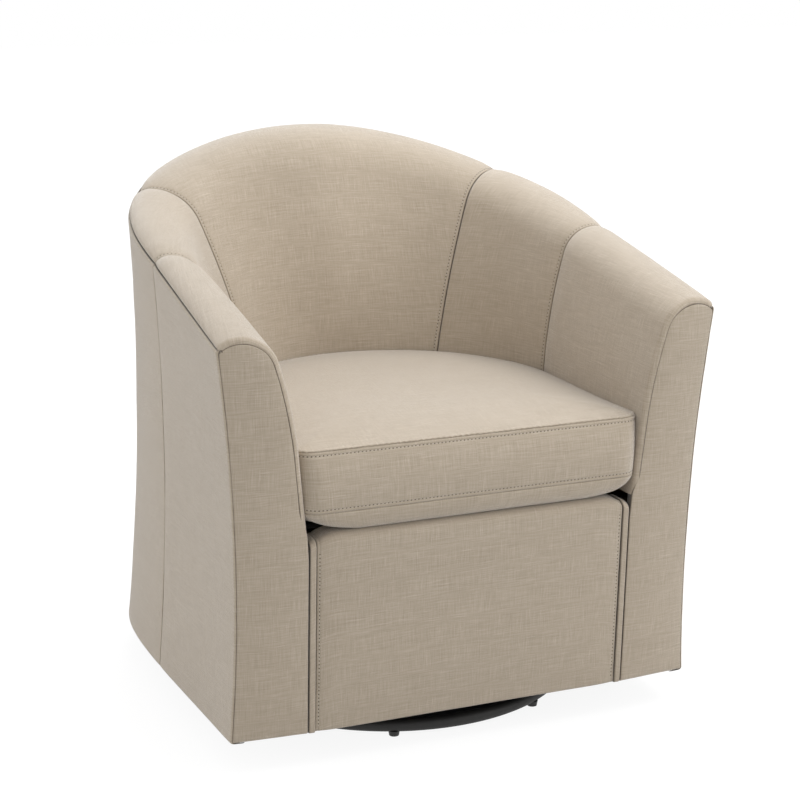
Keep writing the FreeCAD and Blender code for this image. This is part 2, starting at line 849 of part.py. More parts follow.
arm_track = stations(-0.2, 1.0 - seam_share, 5)
wing_track = stations(1.0 + seam_share, 2.0 - seam_share, 5)
back_track = round_the_back(stations(2.0 + seam_share, 3.0, 8))
save_pair("arm_foam", cut_front(padding(arm_track), front_stack))
save_pair("wing_foam", padding(wing_track))
save("back_foam", padding(back_track))
save_pair("inside_arm_cover", cut_front(skin(arm_track), cover_stack))
save_pair("inside_wing_cover", skin(wing_track))
save("inside_back_cover", skin(back_track))


def seam_side(gap):
    """Everything in front of the slanting seam between the outside panels, less the gap."""
    slant = (wing_seam_y - outside_seam_foot_y) / (arm_back_height - body_bottom)
    low_y = outside_seam_foot_y - slant * body_bottom - gap
    high_y = low_y + slant * cutter_size
    x = -cutter_size / 2
    corners = [
        V(x, low_y, 0),
        V(x, high_y, cutter_size),
        V(x, -cutter_size, cutter_size),
        V(x, -cutter_size, 0),
    ]
    return Part.Face(Part.makePolygon(corners + corners[:1])).extrude(V(cutter_size, 0, 0))


arm_stations = stations(-0.2, 1.0, 5)
half_track = stations(1.0, 2.0, 6) + stations(2.0, 3.0, 9)[1:]
arm_shell = loft([outside_wire(station) for station in arm_stations])
back_shell = loft([outside_wire(station) for station in round_the_back(half_track)])
shell = back_shell.fuse([arm_shell, mirrored(arm_shell)])
arm_sides = cut_front(shell.common(seam_side(seam_width / 2)), cover_stack)
save_pair("outside_arm_cover", max(arm_sides.Solids, key=lambda solid: solid.CenterOfMass.x))
save("outside_back_cover", shell.cut(seam_side(-seam_width / 2)))
save_pair("arm_front_cover", front_panel(0.0, 0.0, cover))


def apron_run(depth, fold_back):
    """Edges up the leaning front and over the fold, this far inside its outer face."""
    lean = math.atan(front_lean)
    radius = apron_roll - depth
    center_z = deck_top - apron_roll
    center_y = front_y - front_lean * (center_z - body_bottom) + apron_roll / math.cos(lean)
    center = V(0, center_y, center_z)
    tangent = center - V(0, math.cos(lean), math.sin(lean)) * radius
    half_way = math.radians(135.0) + lean / 2
    middle = center + V(0, math.cos(half_way), math.sin(half_way)) * radius
    top = center + UP * radius
    foot = V(0, front_y + depth / math.cos(lean), body_bottom)
    return [line(foot, tangent), arc(tangent, middle, top), line(top, V(0, fold_back, top.z))]


def apron_sheet(left, right, near, far, fold_back):
    wire = ring_wire(apron_run(near, fold_back), apron_run(far, fold_back))
    face = Part.Face(wire)
    return face.extrude(V(right - left, 0, 0)).translated(V(left, 0, 0))


def apron_pad():
    """Foam between the apron and the front rails."""
    around = apron_run(cover_stack, front_rail_y - wood_gap)
    foot = start_of(around[0])
    heel = V(0, front_rail_y - wood_gap, foot.z)
    wire = Part.Wire(around + [line(end_of(around[-1]), heel), line(heel, foot)])
    block = Part.Face(wire).extrude(V(2 * apron_pad_half, 0, 0)).translated(V(-apron_pad_half, 0, 0))
    return block.cut(box(-apron_half, apron_half, 2 * front_y, 0, 0, body_bottom + apron_pad_rise))


apron_edge = apron_half - welt_width - cover_gap
save("apron_cover", apron_sheet(-apron_edge, apron_edge, 0.0, cover, fold_back))
save_pair("apron_welt", apron_sheet(apron_half - welt_width, apron_half, -welt_rise, cover, fold_back))
save("apron_pad", apron_pad())
cloth = sheet(bottom_wire(dust_inset, front_y + dust_inset, plate_top), dust_cloth)
cloth = cut_front(mirrored(cut_front(cloth, dust_inset)), dust_inset)
cloth = clearance_holes(cloth, plate_top, wood_bottom, bolt_radius + bolt_play, rivet_room_radius)
save("dust_cover", cloth)

print("seat cushion")


def cushion_wire(height, inset, front, depth):
    """Level section of the cushion. It follows the walls, which draw in under the seat line."""
    lean = under_seat_lean * max(seat_line - height, 0.0) / (seat_line - pad_bottom)
    whole_inset = cushion_gap + lean + inset + depth
    return outline_wire(seat_outline, whole_inset, front + depth, cushion_corner, height, seat_arcs)


def cushion_body(depth):
    bottom = deck_top + cushion_bottom_gap + depth
    seam = cushion_upper_seam - depth / 2
    middle = (cushion_lower_seam + seam) / 2
    front = cushion_front_y
    side = []
    for rise, inset_share in cushion_foot_shares:
        inset = cushion_foot_inset * inset_share
        side.append(cushion_wire(mix(bottom, cushion_lower_seam, rise), inset, front + inset, depth))
    side += [
        cushion_wire(cushion_lower_seam, 0.0, front, depth),
        cushion_wire(middle, 0.0, front + cushion_upper_back / 2 - cushion_fullness, depth),
        cushion_wire(seam, 0.0, front + cushion_upper_back, depth),
    ]
    crown = []
    for share in cushion_crown_shares:
        inset = cushion_crown_run * share
        height = seam + (cushion_crown - depth / 2) * math.sin(math.pi / 2 * share)
        crown.append(cushion_wire(height, inset, front + cushion_upper_back + inset, depth))
    return loft(side).fuse(loft(crown)).removeSplitter()


body = cushion_body(0.0)
save("seat_cushion_cover", body.cut(cushion_body(cover)))
save("seat_cushion_core", cushion_body(cover + core_gap))
band_middle = (cushion_lower_seam + cushion_upper_seam) / 2
band_low = band_middle - zipper_width / 2
band_box = box(-seat_half, seat_half, zipper_front_y, back_y, band_low, band_low + zipper_width)
save("seat_cushion_zipper", cushion_body(-zipper_thickness).common(band_box).cut(body))
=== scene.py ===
import bpy
import bmesh
import json
import math
import numpy as np
from mathutils import Matrix, Vector


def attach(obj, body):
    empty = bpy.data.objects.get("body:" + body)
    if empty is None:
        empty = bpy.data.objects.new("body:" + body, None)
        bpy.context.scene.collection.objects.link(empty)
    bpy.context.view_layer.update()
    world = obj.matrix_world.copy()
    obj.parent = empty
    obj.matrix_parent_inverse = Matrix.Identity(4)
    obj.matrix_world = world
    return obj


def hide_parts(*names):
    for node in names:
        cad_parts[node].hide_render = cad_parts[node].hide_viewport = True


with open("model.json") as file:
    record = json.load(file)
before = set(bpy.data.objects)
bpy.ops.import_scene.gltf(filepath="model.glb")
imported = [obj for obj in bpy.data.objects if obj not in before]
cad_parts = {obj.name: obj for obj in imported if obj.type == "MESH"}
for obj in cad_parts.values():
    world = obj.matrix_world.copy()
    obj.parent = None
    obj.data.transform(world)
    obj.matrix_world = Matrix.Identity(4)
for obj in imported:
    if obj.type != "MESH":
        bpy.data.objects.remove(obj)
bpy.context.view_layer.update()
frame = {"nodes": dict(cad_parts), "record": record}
print("frame loaded")

# The upholstered body, in metres and degrees. Four values in a row belong to the arm front, the seam
# between arm and wing, the seam between wing and back, and the middle of the back.
bodyForm = {
    "frontY": -0.361,
    "backY": 0.386,
    "turnY": -0.028,
    "bottomFrontHalf": 0.371,
    "bottomHalf": 0.383,
    "bottomSquareness": 3.6,
    "topFrontHalf": 0.388,
    "topHalf": 0.381,
    "topSquareness": 2.47,
    "seatFrontHalf": 0.269,
    "seatHalf": 0.267,
    "seatTurnY": -0.075,
    "seatBackY": 0.193,
    "seatSquareness": 2.0,
    "bottomZ": 0.050,
    "deckZ": 0.354,
    "seatLineZ": 0.472,
    "crestHeights": (0.652, 0.711, 0.771, 0.846),
    "crownWidths": (0.035, 0.026, 0.027, 0.045),
    "crownDrops": (0.014, 0.014, 0.010, 0.012),
    "rolls": (0.058, 0.059, 0.088, 0.100),
    "rollTurns": (73.0, 74.0, 66.0, 68.0),
    "waists": (0.014, 0.013, 0.012, 0.012),
    "underSeatLean": 0.0115,
    "armSeamY": -0.054,
    "backSeamY": 0.039,
    "backSeamAngle": 31.0,
    "outsideSeamFootY": -0.026,
    "frontLean": 0.05,
    "frontSweep": 0.077,
    "apronHalf": 0.254,
}
# what bounds each outline seen from above
outlineKeys = {
    "top": ("topFrontHalf", "topHalf", "turnY", "backY", "topSquareness"),
    "bottom": ("bottomFrontHalf", "bottomHalf", "turnY", "backY", "bottomSquareness"),
    "seat": ("seatFrontHalf", "seatHalf", "seatTurnY", "seatBackY", "seatSquareness"),
}

# Edges of the sewn panels: rows of (distance from the seam, depth under the surface, shade), in
# millimetres. Shade is painted shade: how much the cloth is darkened there, from 0 to 1, standing in for
# the shadow in the seam grooves, the topstitch grooves and the gaps. The first row is the end of the
# turned-in cloth.
seamRows = (
    (0.0, 2.4, 1.0), (0.4, 1.5, 1.0), (0.9, 0.8, 0.75), (1.5, 0.35, 0.2), (2.3, 0.06, 0.0), (3.5, 0.0, 0.0),
)
panelEdges = {
    "seam": ((0.0, 7.0, 1.0), *seamRows),
    "deepSeam": ((0.0, 24.0, 1.0), *seamRows),
    "stitchedSeam": (
        (0.0, 7.0, 1.0), (0.0, 2.4, 1.0), (0.4, 1.5, 1.0), (0.9, 0.8, 0.6), (1.5, 0.35, 0.15),
        (2.3, 0.06, 0.0), (3.6, 0.05, 0.0), (4.4, 0.35, 0.1), (5.2, 0.55, 0.3), (6.0, 0.35, 0.1),
        (7.0, 0.05, 0.0), (9.0, 0.0, 0.0),
    ),
    "softSeam": (
        (0.0, 7.0, 1.0), (0.0, 1.5, 0.6), (0.3, 0.8, 0.35), (0.8, 0.3, 0.1), (1.5, 0.08, 0.0),
        (2.3, 0.02, 0.0), (3.6, 0.05, 0.0), (4.4, 0.3, 0.08), (5.2, 0.45, 0.2), (6.0, 0.3, 0.08),
        (7.0, 0.05, 0.0), (9.0, 0.0, 0.0),
    ),
    "bandEdge": (
        (0.0, 7.0, 1.0), (0.0, 1.2, 0.6), (0.3, 0.6, 0.25), (0.8, 0.2, 0.05), (1.5, 0.0, 0.0),
        (2.4, 0.0, 0.0),
    ),
    "corner": (
        (6.2, 7.2, 1.0), (2.34, 3.3, 1.0), (2.6, 2.4, 0.45), (3.1, 1.72, 0.1), (4.0, 1.07, 0.0),
        (5.0, 0.58, 0.0), (6.5, 0.14, 0.0), (8.0, 0.0, 0.0), (10.0, 0.0, 0.0),
    ),
    "roll": (
        (3.5, 11.5, 1.0), (0.9, 10.0, 1.0), (0.2, 8.4, 1.0), (0.0, 7.7, 0.8), (0.05, 6.9, 0.1),
        (0.35, 5.4, 0.0), (0.9, 3.9, 0.0), (1.9, 2.4, 0.0), (3.4, 1.1, 0.0), (5.4, 0.3, 0.0),
        (8.0, 0.0, 0.0), (11.0, 0.0, 0.0),
    ),
    "wrap": (
        (3.5, 7.0, 1.0), (0.9, 5.2, 1.0), (0.2, 3.6, 1.0), (0.0, 2.7, 0.8), (0.1, 2.0, 0.1),
        (0.5, 1.2, 0.0), (1.3, 0.5, 0.0), (2.4, 0.12, 0.0), (4.0, 0.0, 0.0), (7.0, 0.0, 0.0),
    ),
    "hem": (
        (0.0, 16.0, 0.6), (0.0, 4.2, 0.1), (0.15, 3.0, 0.0), (0.6, 1.9, 0.0), (1.5, 0.9, 0.0),
        (2.6, 0.25, 0.0), (4.2, 0.0, 0.0), (7.0, 0.0, 0.0),
    ),
    "plain": ((0.0, 0.0, 0.0),),
}
# how far the topstitch lies from its seam, in millimetres, a row of the stitched edges
stitchDistance = 5.2

# Waves and wrinkles of the cloth: sizes of the noise, and how far from a seam the padding is drawn in
# and the wrinkles reach, in metres.
clothForm = {
    "waveSize": 0.11,
    "rippleSize": 0.04,
    "rippleShare": 0.35,
    "puckerSize": 0.011,
    "puckerReach": 0.009,
    "pillowReach": 0.042,
    "pillowPower": 2.2,
    "bulgeReach": 0.03,
    "bulgePower": 0.8,
}

# The linen look weave. The pitch is in millimetres, colours are linear.
weave = {
    "yarnPitch": 0.85,
    "base": (0.470, 0.396, 0.308),
    "dark": (0.365, 0.300, 0.227),
    "light": (0.60, 0.525, 0.435),
    # seam is the colour of the painted shade that darkens the cloth in seam grooves and gaps
    "seam": (0.09, 0.07, 0.05),
}


def mix(a, b, share):
    return a + (b - a) * share


def clipped(value):
    return np.clip(value, 0, 1)


def runAlong(points, axis=0):
    # the distance along the points, from the first one
    steps = np.linalg.norm(np.diff(points, axis=axis), axis=-1)
    return np.concatenate([0 * steps.take([0], axis), np.cumsum(steps, axis=axis)], axis=axis)


def valuesAt(at, known, values):
    # interpolates each column of the values
    return np.stack([np.interp(at, known, values[..., k]) for k in range(values.shape[-1])], axis=-1)


# The outlines and the section of the padded wall.
def outlineReach(outline, originY, angle):
    # how far an outline lies from a point of the middle plane
    frontHalf, half, turnY, backY, squareness = [bodyForm[key] for key in outlineKeys[outline]]
    near, far = 0.0, 1.0
    for _ in range(44):
        middle = (near + far) / 2
        x = middle * math.cos(angle)
        y = originY + middle * math.sin(angle)
        if y <= turnY:
            inside = x <= mix(half, frontHalf, (turnY - y) / (turnY - bodyForm["frontY"]))
        else:
            across = (x / half) ** squareness
            along = ((y - turnY) / (backY - turnY)) ** squareness
            inside = across + along <= 1
        if inside:
            near = middle
        else:
            far = middle
    return near


def fourValues(values, arm, wing, back):
    front, armSeam, backSeam, last = values
    return mix(front, armSeam, arm) + (backSeam - armSeam) * wing + (last - backSeam) * back


def wallRow(t):
    b = bodyForm
    arm = min(t, 1.0)
    wing = min(max(t - 1.0, 0.0), 1.0)
    turned = min(max(t - 2.0, 0.0), 1.0)
    back = math.sin(math.pi / 2 * turned)  # level at the middle, so that no crease shows there
    row = {
        "t": t,
        "crest": fourValues(b["crestHeights"], arm, wing, back),
        "originY": mix(b["frontY"], b["armSeamY"], arm) + (b["backSeamY"] - b["armSeamY"]) * wing,
        "angle": math.radians(mix(b["backSeamAngle"] * wing, 90.0, turned)),
        "crownWidth": fourValues(b["crownWidths"], arm, wing, back),
        "crownDrop": fourValues(b["crownDrops"], arm, wing, back),
        "roll": fourValues(b["rolls"], arm, wing, back),
        "rollTurn": math.radians(fourValues(b["rollTurns"], arm, wing, back)),
        "waist": fourValues(b["waists"], arm, wing, back),
    }
    for outline in outlineKeys:
        row[outline] = outlineReach(outline, row["originY"], row["angle"])
    return row


wallRows = [wallRow(round(i / 80, 6)) for i in range(-20, 241)]
wall = {key: np.array([row[key] for row in wallRows]) for key in wallRows[0]}


def station(t):
    # t runs from 0 at the right arm's front over 3 at the middle of the back to 6 at the left arm's front
    folded = np.where(t > 3.0, 6.0 - t, t)
    found = {key: np.interp(folded, wall["t"], wall[key]) for key in wall}
    found["side"] = np.where(t > 3.0, -1.0, 1.0)
    return found


def place(s, reach, height):
    x = s["side"] * reach * np.cos(s["angle"])
    y = s["originY"] + reach * np.sin(s["angle"])
    return np.stack([x, y, height + 0 * x], axis=-1)


def insidePoint(t, v):
    # v runs from 0 at the outer top corner over crown, roll, wall and foot to 1 at the deck
    b = bodyForm
    s = station(t)
    crownRadius = (s["crownWidth"] ** 2 + s["crownDrop"] ** 2) / (2 * s["crownDrop"])
    crown = crownRadius * np.arcsin(s["crownWidth"] / crownRadius)
    roll = s["roll"] * s["rollTurn"]
    crestReach = s["top"] - s["crownWidth"]
    startReach = crestReach - s["roll"] * np.sin(s["rollTurn"])
    startHeight = s["crest"] - s["roll"] + s["roll"] * np.cos(s["rollTurn"])
    # the wall is an arc from the roll's end to the seat line
    drop = startHeight - b["seatLineZ"]
    run = startReach - s["seat"]
    chord = np.arctan2(run, drop)
    bend = math.pi / 2 - s["rollTurn"] - chord
    radius = np.hypot(run, drop) / 2 / np.sin(bend)
    wallRun = np.abs(2 * bend * radius)
    foot = np.hypot(b["seatLineZ"] - b["deckZ"], b["underSeatLean"]) + 0 * roll
    length = v * (crown + roll + wallRun + foot)
    onCrown = (crown - length) / crownRadius
    turn = (length - crown) / s["roll"]
    lean = chord + bend - (length - crown - roll) / radius
    footShare = (length - crown - roll - wallRun) / foot
    past = [length > crown + roll + wallRun, length > crown + roll, length > crown]
    reach = np.select(past, [
        s["seat"] - b["underSeatLean"] * footShare,
        startReach + radius * np.cos(chord + bend) - radius * np.cos(lean),
        crestReach - s["roll"] * np.sin(turn),
    ], crestReach + crownRadius * np.sin(onCrown))
    height = np.select(past, [
        b["seatLineZ"] + (b["deckZ"] - b["seatLineZ"]) * footShare,
        startHeight - radius * np.sin(chord + bend) + radius * np.sin(lean),
        s["crest"] - s["roll"] + s["roll"] * np.cos(turn),
    ], s["crest"] - crownRadius + crownRadius * np.cos(onCrown))
    return place(s, reach, height)


def outsidePoint(t, v):
    # v runs from 0 at the outer top corner down to 1 at the bottom edge
    s = station(t)
    height = mix(s["crest"] - s["crownDrop"], bodyForm["bottomZ"], v)
    share = 1 - v
    reach = mix(s["bottom"], s["top"], share) - 4 * s["waist"] * share * (1 - share)
    return place(s, reach, height)


def frontPlaneY(x, z):
    b = bodyForm
    return b["frontY"] - b["frontLean"] * (z - b["bottomZ"]) + b["frontSweep"] * (np.abs(x) - b["apronHalf"])


def frontT(point, v):
    # where each line along the arm meets the leaning front
    b = bodyForm
    t = np.zeros_like(v)
    for _ in range(6):
        p = point(t, v)
        t = (frontPlaneY(p[..., 0], p[..., 2]) - b["frontY"]) / (b["armSeamY"] - b["frontY"])
    return t


def slantT(v):
    # where the slanting seam crosses each line round the outside
    b = bodyForm
    near = np.full_like(v, 1.0)
    far = np.full_like(v, 1.8)
    for _ in range(30):
        t = (near + far) / 2
        p = outsidePoint(t, v)
        share = (p[..., 2] - b["bottomZ"]) / (b["crestHeights"][1] - b["bottomZ"])
        inside = p[..., 1] < mix(b["outsideSeamFootY"], b["armSeamY"], share)
        near = np.where(inside, t, near)
        far = np.where(inside, far, t)
    return t


# Panel building.
def edgeFractions(first, last, cells, length):
    # one row of fractions for each grid line, with the edge rows at their own distances
    length = np.atleast_1d(length)
    start = np.array([row[0] / 1000 for row in first])[:, None] / length[None, :]
    end = 1 - np.array([row[0] / 1000 for row in reversed(last)])[:, None] / length[None, :]
    share = (np.arange(1, cells) / cells)[:, None]
    middle = start[-1][None, :] * (1 - share) + end[0][None, :] * share
    return np.concatenate([start, middle, end], axis=0)


def edgeValues(first, last, cells, column):
    ends = [row[column] for row in first], [row[column] for row in reversed(last)]
    return np.array(ends[0] + [0.0] * (cells - 1) + ends[1])


def meshFrom(bm, name):
    mesh = bpy.data.meshes.new(name)
    bm.to_mesh(mesh)
    bm.free()
    return mesh


def linked(name, data):
    piece = bpy.data.objects.new(name, data)
    bpy.context.scene.collection.objects.link(piece)
    return piece


def weld(bm):
    bmesh.ops.remove_doubles(bm, verts=bm.verts, dist=0.00001)
    bmesh.ops.recalc_face_normals(bm, faces=bm.faces)


def gridObject(name, points, uv, shade=None, closed=False):
    nu, nv = points.shape[:2]
    bm = bmesh.new()
    bmesh.ops.create_grid(bm, x_segments=nu - 1, y_segments=nv - 1, size=0.5)
    bm.verts.ensure_lookup_table()
    layer = bm.loops.layers.uv.new("weave")
    shading = bm.verts.layers.float.new("seamShade")
    index = {}
    for vert in bm.verts:
        index[vert] = round((vert.co.x + 0.5) * (nu - 1)), round((vert.co.y + 0.5) * (nv - 1))
    for face in bm.faces:
        face.smooth = True
        for loop in face.loops:
            loop[layer].uv = uv[index[loop.vert]]
    for vert, spot in index.items():
        vert.co = points[spot]
        if shade is not None:
            vert[shading] = shade[spot]
    if closed:
        weld(bm)
    return linked(name, meshFrom(bm, name))


def latticeValue(cell):
    # one fixed value between -1 and 1 for each corner of the lattice
    mixed = np.sin(cell @ np.array([12.9898, 78.233, 37.719])) * 43758.5453
    return 2 * (mixed - np.floor(mixed)) - 1


def softNoise(points, size, seed):
    spot = points / size + seed
    cell = np.floor(spot)
    part = spot - cell
    part = part * part * (3 - 2 * part)
    total = np.zeros(points.shape[:-1])
    for corner in np.ndindex(2, 2, 2):
        share = np.prod(np.where(np.array(corner) == 1, part, 1 - part), axis=-1)
        total += share * latticeValue(cell + np.array(corner))
    return total * 0.7


def makePanel(name, surface, edges, cells, seed, pillow=(0.0, 0.0, 0.0, 0.0), puckers=0.0003, soft=0.0009,
              flip=False, grain="middle", bulge=0.0):
    # surface(u, v) gives points; edges and pillow are for u = 0, u = 1, v = 0, v = 1
    c = clothForm
    first, last, low, high = [panelEdges[edge] for edge in edges]
    sample = np.linspace(0, 1, 60)
    coarse = surface(*np.meshgrid(sample, sample, indexing="ij"))
    lengthU, lengthV = runAlong(coarse)[-1], runAlong(coarse, 1)[:, -1]
    nominalV = edgeFractions(low, high, cells[1], lengthV.mean())[:, 0]
    nominalU = edgeFractions(first, last, cells[0], lengthU.mean())[:, 0]
    u = edgeFractions(first, last, cells[0], np.interp(nominalV, sample, lengthU))
    v = edgeFractions(low, high, cells[1], np.interp(nominalU, sample, lengthV)).T
    step = 0.002
    points = surface(u, v)
    alongU = surface(u + step, v) - surface(u - step, v)
    alongV = surface(u, v + step) - surface(u, v - step)
    normal = np.cross(alongU, alongV)
    normal /= np.linalg.norm(normal, axis=-1, keepdims=True)
    if flip:
        normal = -normal
    # depth and painted seam shade from the edge rows of both directions
    (depthU, shadeU), (depthV, shadeV) = [
        [edgeValues(*ends, column) for column in (1, 2)]
        for ends in ((first, last, cells[0]), (low, high, cells[1]))
    ]
    depth = (depthU[:, None] + depthV[None, :]) / 1000
    shade = np.maximum(shadeU[:, None], shadeV[None, :])
    runU, runV = runAlong(points), runAlong(points, 1)
    tight = softNoise(points, c["puckerSize"], seed + 5)
    for distance, amount in zip((runU, runU[-1:] - runU, runV, runV[:, -1:] - runV), pillow):
        if amount:
            depth = depth + amount * clipped(1 - distance / c["pillowReach"]) ** c["pillowPower"]
            depth = depth + puckers * tight * np.exp(-distance / c["puckerReach"])
    waves = softNoise(points, c["waveSize"], seed)
    waves = waves + c["rippleShare"] * softNoise(points, c["rippleSize"], seed + 9)
    arch = np.sin(math.pi * clipped(u)) ** c["bulgePower"]
    depth = depth + soft * waves - bulge * arch * np.sin(math.pi / 2 * clipped(runV / c["bulgeReach"]))
    made = points - normal * depth[..., None]
    acrossGrain = {
        "middle": runU - runU[-1:] / 2,
        "fromEnd": runU - runU[-1:],
        "fromStart": runU,
        "level": runU - runU[-1:] / 2,
        "levelSide": points[..., 1],
        "planar": points[..., 0],
    }[grain]
    alongGrain = points[..., 2] if grain in ("level", "levelSide", "planar") else runV[:, -1:] - runV
    piece = gridObject(name, made, np.stack([acrossGrain, alongGrain], axis=-1), shade)
    if flip:
        piece.data.flip_normals()
    return piece, made, normal


def finishPiece(piece, body, material, replaced=()):
    piece.data.materials.clear()
    piece.data.materials.append(materials[material])
    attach(piece, body)
    if replaced:
        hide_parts(*replaced)


def sewPanel(name, replaced, fill, *shape, **looks):
    piece, made, normal = makePanel(name, *shape, **looks)
    finishPiece(piece, "chair", "linenBody", replaced)
    return made, normal


# Materials.
def addNode(tree, kind, values=(), **settings):
    # values go to the inputs, as constants or as links
    node = tree.nodes.new("ShaderNode" + kind)
    for name, value in settings.items():
        setattr(node, name, value)
    for name, value in dict(values).items():
        if isinstance(value, bpy.types.NodeSocket):
            tree.links.new(value, node.inputs[name])
        else:
            node.inputs[name].default_value = value
    return node.outputs


def emptyTree(owner):
    owner.use_nodes = True
    owner.node_tree.nodes.clear()
    return owner.node_tree


def newMaterial(name):
    material = bpy.data.materials.new(name)
    return material, emptyTree(material)


def closeMaterial(tree, values):
    addNode(tree, "OutputMaterial", {"Surface": addNode(tree, "BsdfPrincipled", values)[0]})


def mathNode(tree, operation, *values):
    return addNode(tree, "Math", enumerate(values), operation=operation)[0]


def times(tree, a, b):
    return mathNode(tree, "MULTIPLY", a, b)


def plus(tree, a, b):
    return mathNode(tree, "ADD", a, b)


def minus(tree, a, b):
    return mathNode(tree, "SUBTRACT", a, b)


def limited(tree, value):
    return mathNode(tree, "MINIMUM", mathNode(tree, "MAXIMUM", value, 0.0), 1.0)


def noiseNode(tree, vector, scale, detail=2.0, roughness=0.5):
    values = {"Vector": vector, "Scale": scale, "Detail": detail, "Roughness": roughness}
    return addNode(tree, "TexNoise", values)["Fac"]


def ramp(tree, factor, stops):
    outputs = addNode(tree, "ValToRGB", {"Fac": factor})
    elements = outputs["Color"].node.color_ramp.elements
    while len(elements) < len(stops):
        elements.new(0.5)
    for element, (position, color) in zip(elements, stops):
        element.position = position
        element.color = (*color, 1.0)
    return outputs["Color"]


def bump(tree, height, distance, strength=1.0):
    return addNode(tree, "Bump", {"Height": height, "Distance": distance, "Strength": strength})["Normal"]


def linenMaterial(name):
    material, tree = newMaterial(name)
    axes = addNode(tree, "SeparateXYZ", {0: addNode(tree, "UVMap", uv_map="weave")["UV"]})
    u, v = [times(tree, axis, 1000 / weave["yarnPitch"]) for axis in axes[:2]]
    # yarns wander a little
    wander = noiseNode(tree, addNode(tree, "CombineXYZ", {0: u, 1: v})[0], 0.02, 1.0)
    u, v = plus(tree, u, times(tree, wander, 3.0)), plus(tree, v, times(tree, wander, -3.0))

    def stretched(across, along, offset, detail, roughness=0.5):
        spot = {0: times(tree, u, across), 1: times(tree, v, along), 2: offset}
        return noiseNode(tree, addNode(tree, "CombineXYZ", spot)[0], 1.0, detail, roughness)
    crossU, crossV = [mathNode(tree, "SINE", times(tree, axis, math.pi)) for axis in (u, v)]
    knots = mathNode(tree, "ABSOLUTE", times(tree, crossU, crossV))
    # one value for each yarn and stretch of yarn, warp and weft
    yarns = plus(tree, stretched(1.0, 0.022, 0.0, 2.0, 0.6), stretched(0.022, 1.0, 7.3, 2.0, 0.6))
    slubs = mathNode(tree, "MAXIMUM", stretched(0.6, 0.035, 3.1, 1.0), stretched(0.03, 0.55, 9.7, 1.0))
    slubs = limited(tree, times(tree, minus(tree, slubs, 0.60), 5.0))
    tones = times(tree, yarns, 0.44)
    for part, share in ((knots, 0.08), (slubs, 0.13), (stretched(0.02, 0.02, 4.2, 3.0), 0.05)):
        tones = plus(tree, tones, times(tree, part, share))
    # most of the cloth lies near the middle of this scale
    color = ramp(tree, tones, ((0.30, weave["dark"]), (0.51, weave["base"]), (0.74, weave["light"])))
    # painted shade: the seamShade attribute darkens the weave towards the seam colour in seam grooves and
    # gaps
    shade = addNode(tree, "Attribute", attribute_name="seamShade")["Fac"]
    blend = {"Factor": times(tree, shade, 0.85), "A": color, "B": (*weave["seam"], 1.0)}
    height = plus(tree, plus(tree, knots, times(tree, yarns, 0.9)), times(tree, slubs, 0.8))
    closeMaterial(tree, {
        "Base Color": addNode(tree, "Mix", blend, data_type="RGBA")["Result"],
        "Roughness": 0.92,
        "Specular IOR Level": 0.25,
        "Sheen Weight": 0.75,
        "Sheen Roughness": 0.38,
        "Normal": bump(tree, height, 0.00022, 0.8),
    })
    return material


def objectVector(tree, scale=(1, 1, 1)):
    return addNode(tree, "Mapping", {"Vector": addNode(tree, "TexCoord")["Object"], "Scale": scale})["Vector"]


def plainMaterial(name, low, high, scale, stretch=(1, 1, 1), roughness=0.5, metallic=0.0, bumpDepth=0.0001,
                  spread=0.15):
    # two tones in a noise, with a finer noise in the roughness and the bump
    material, tree = newMaterial(name)
    vector = objectVector(tree, stretch)
    fine = noiseNode(tree, vector, scale * 6, 2.0)
    closeMaterial(tree, {
        "Base Color": ramp(tree, noiseNode(tree, vector, scale, 5.0, 0.6), ((0.3, low), (0.7, high))),
        "Roughness": plus(tree, times(tree, fine, spread), roughness - spread / 2),
        "Metallic": metallic,
        "Normal": bump(tree, fine, bumpDepth),
    })
    return material


def liningMaterial(name):
    material, tree = newMaterial(name)
    vector = objectVector(tree)
    axes = addNode(tree, "SeparateXYZ", {0: vector})[:2]
    across, along = [mathNode(tree, "SINE", times(tree, axis, 4200.0)) for axis in axes]
    fibres = noiseNode(tree, vector, 220.0, 4.0, 0.7)
    height = plus(tree, times(tree, across, along), times(tree, fibres, 2.0))
    closeMaterial(tree, {
        "Base Color": ramp(tree, fibres, ((0.3, (0.008, 0.008, 0.008)), (0.7, (0.028, 0.026, 0.024)))),
        "Roughness": 0.95,
        "Sheen Weight": 0.08,
        "Normal": bump(tree, height, 0.00015),
    })
    return material


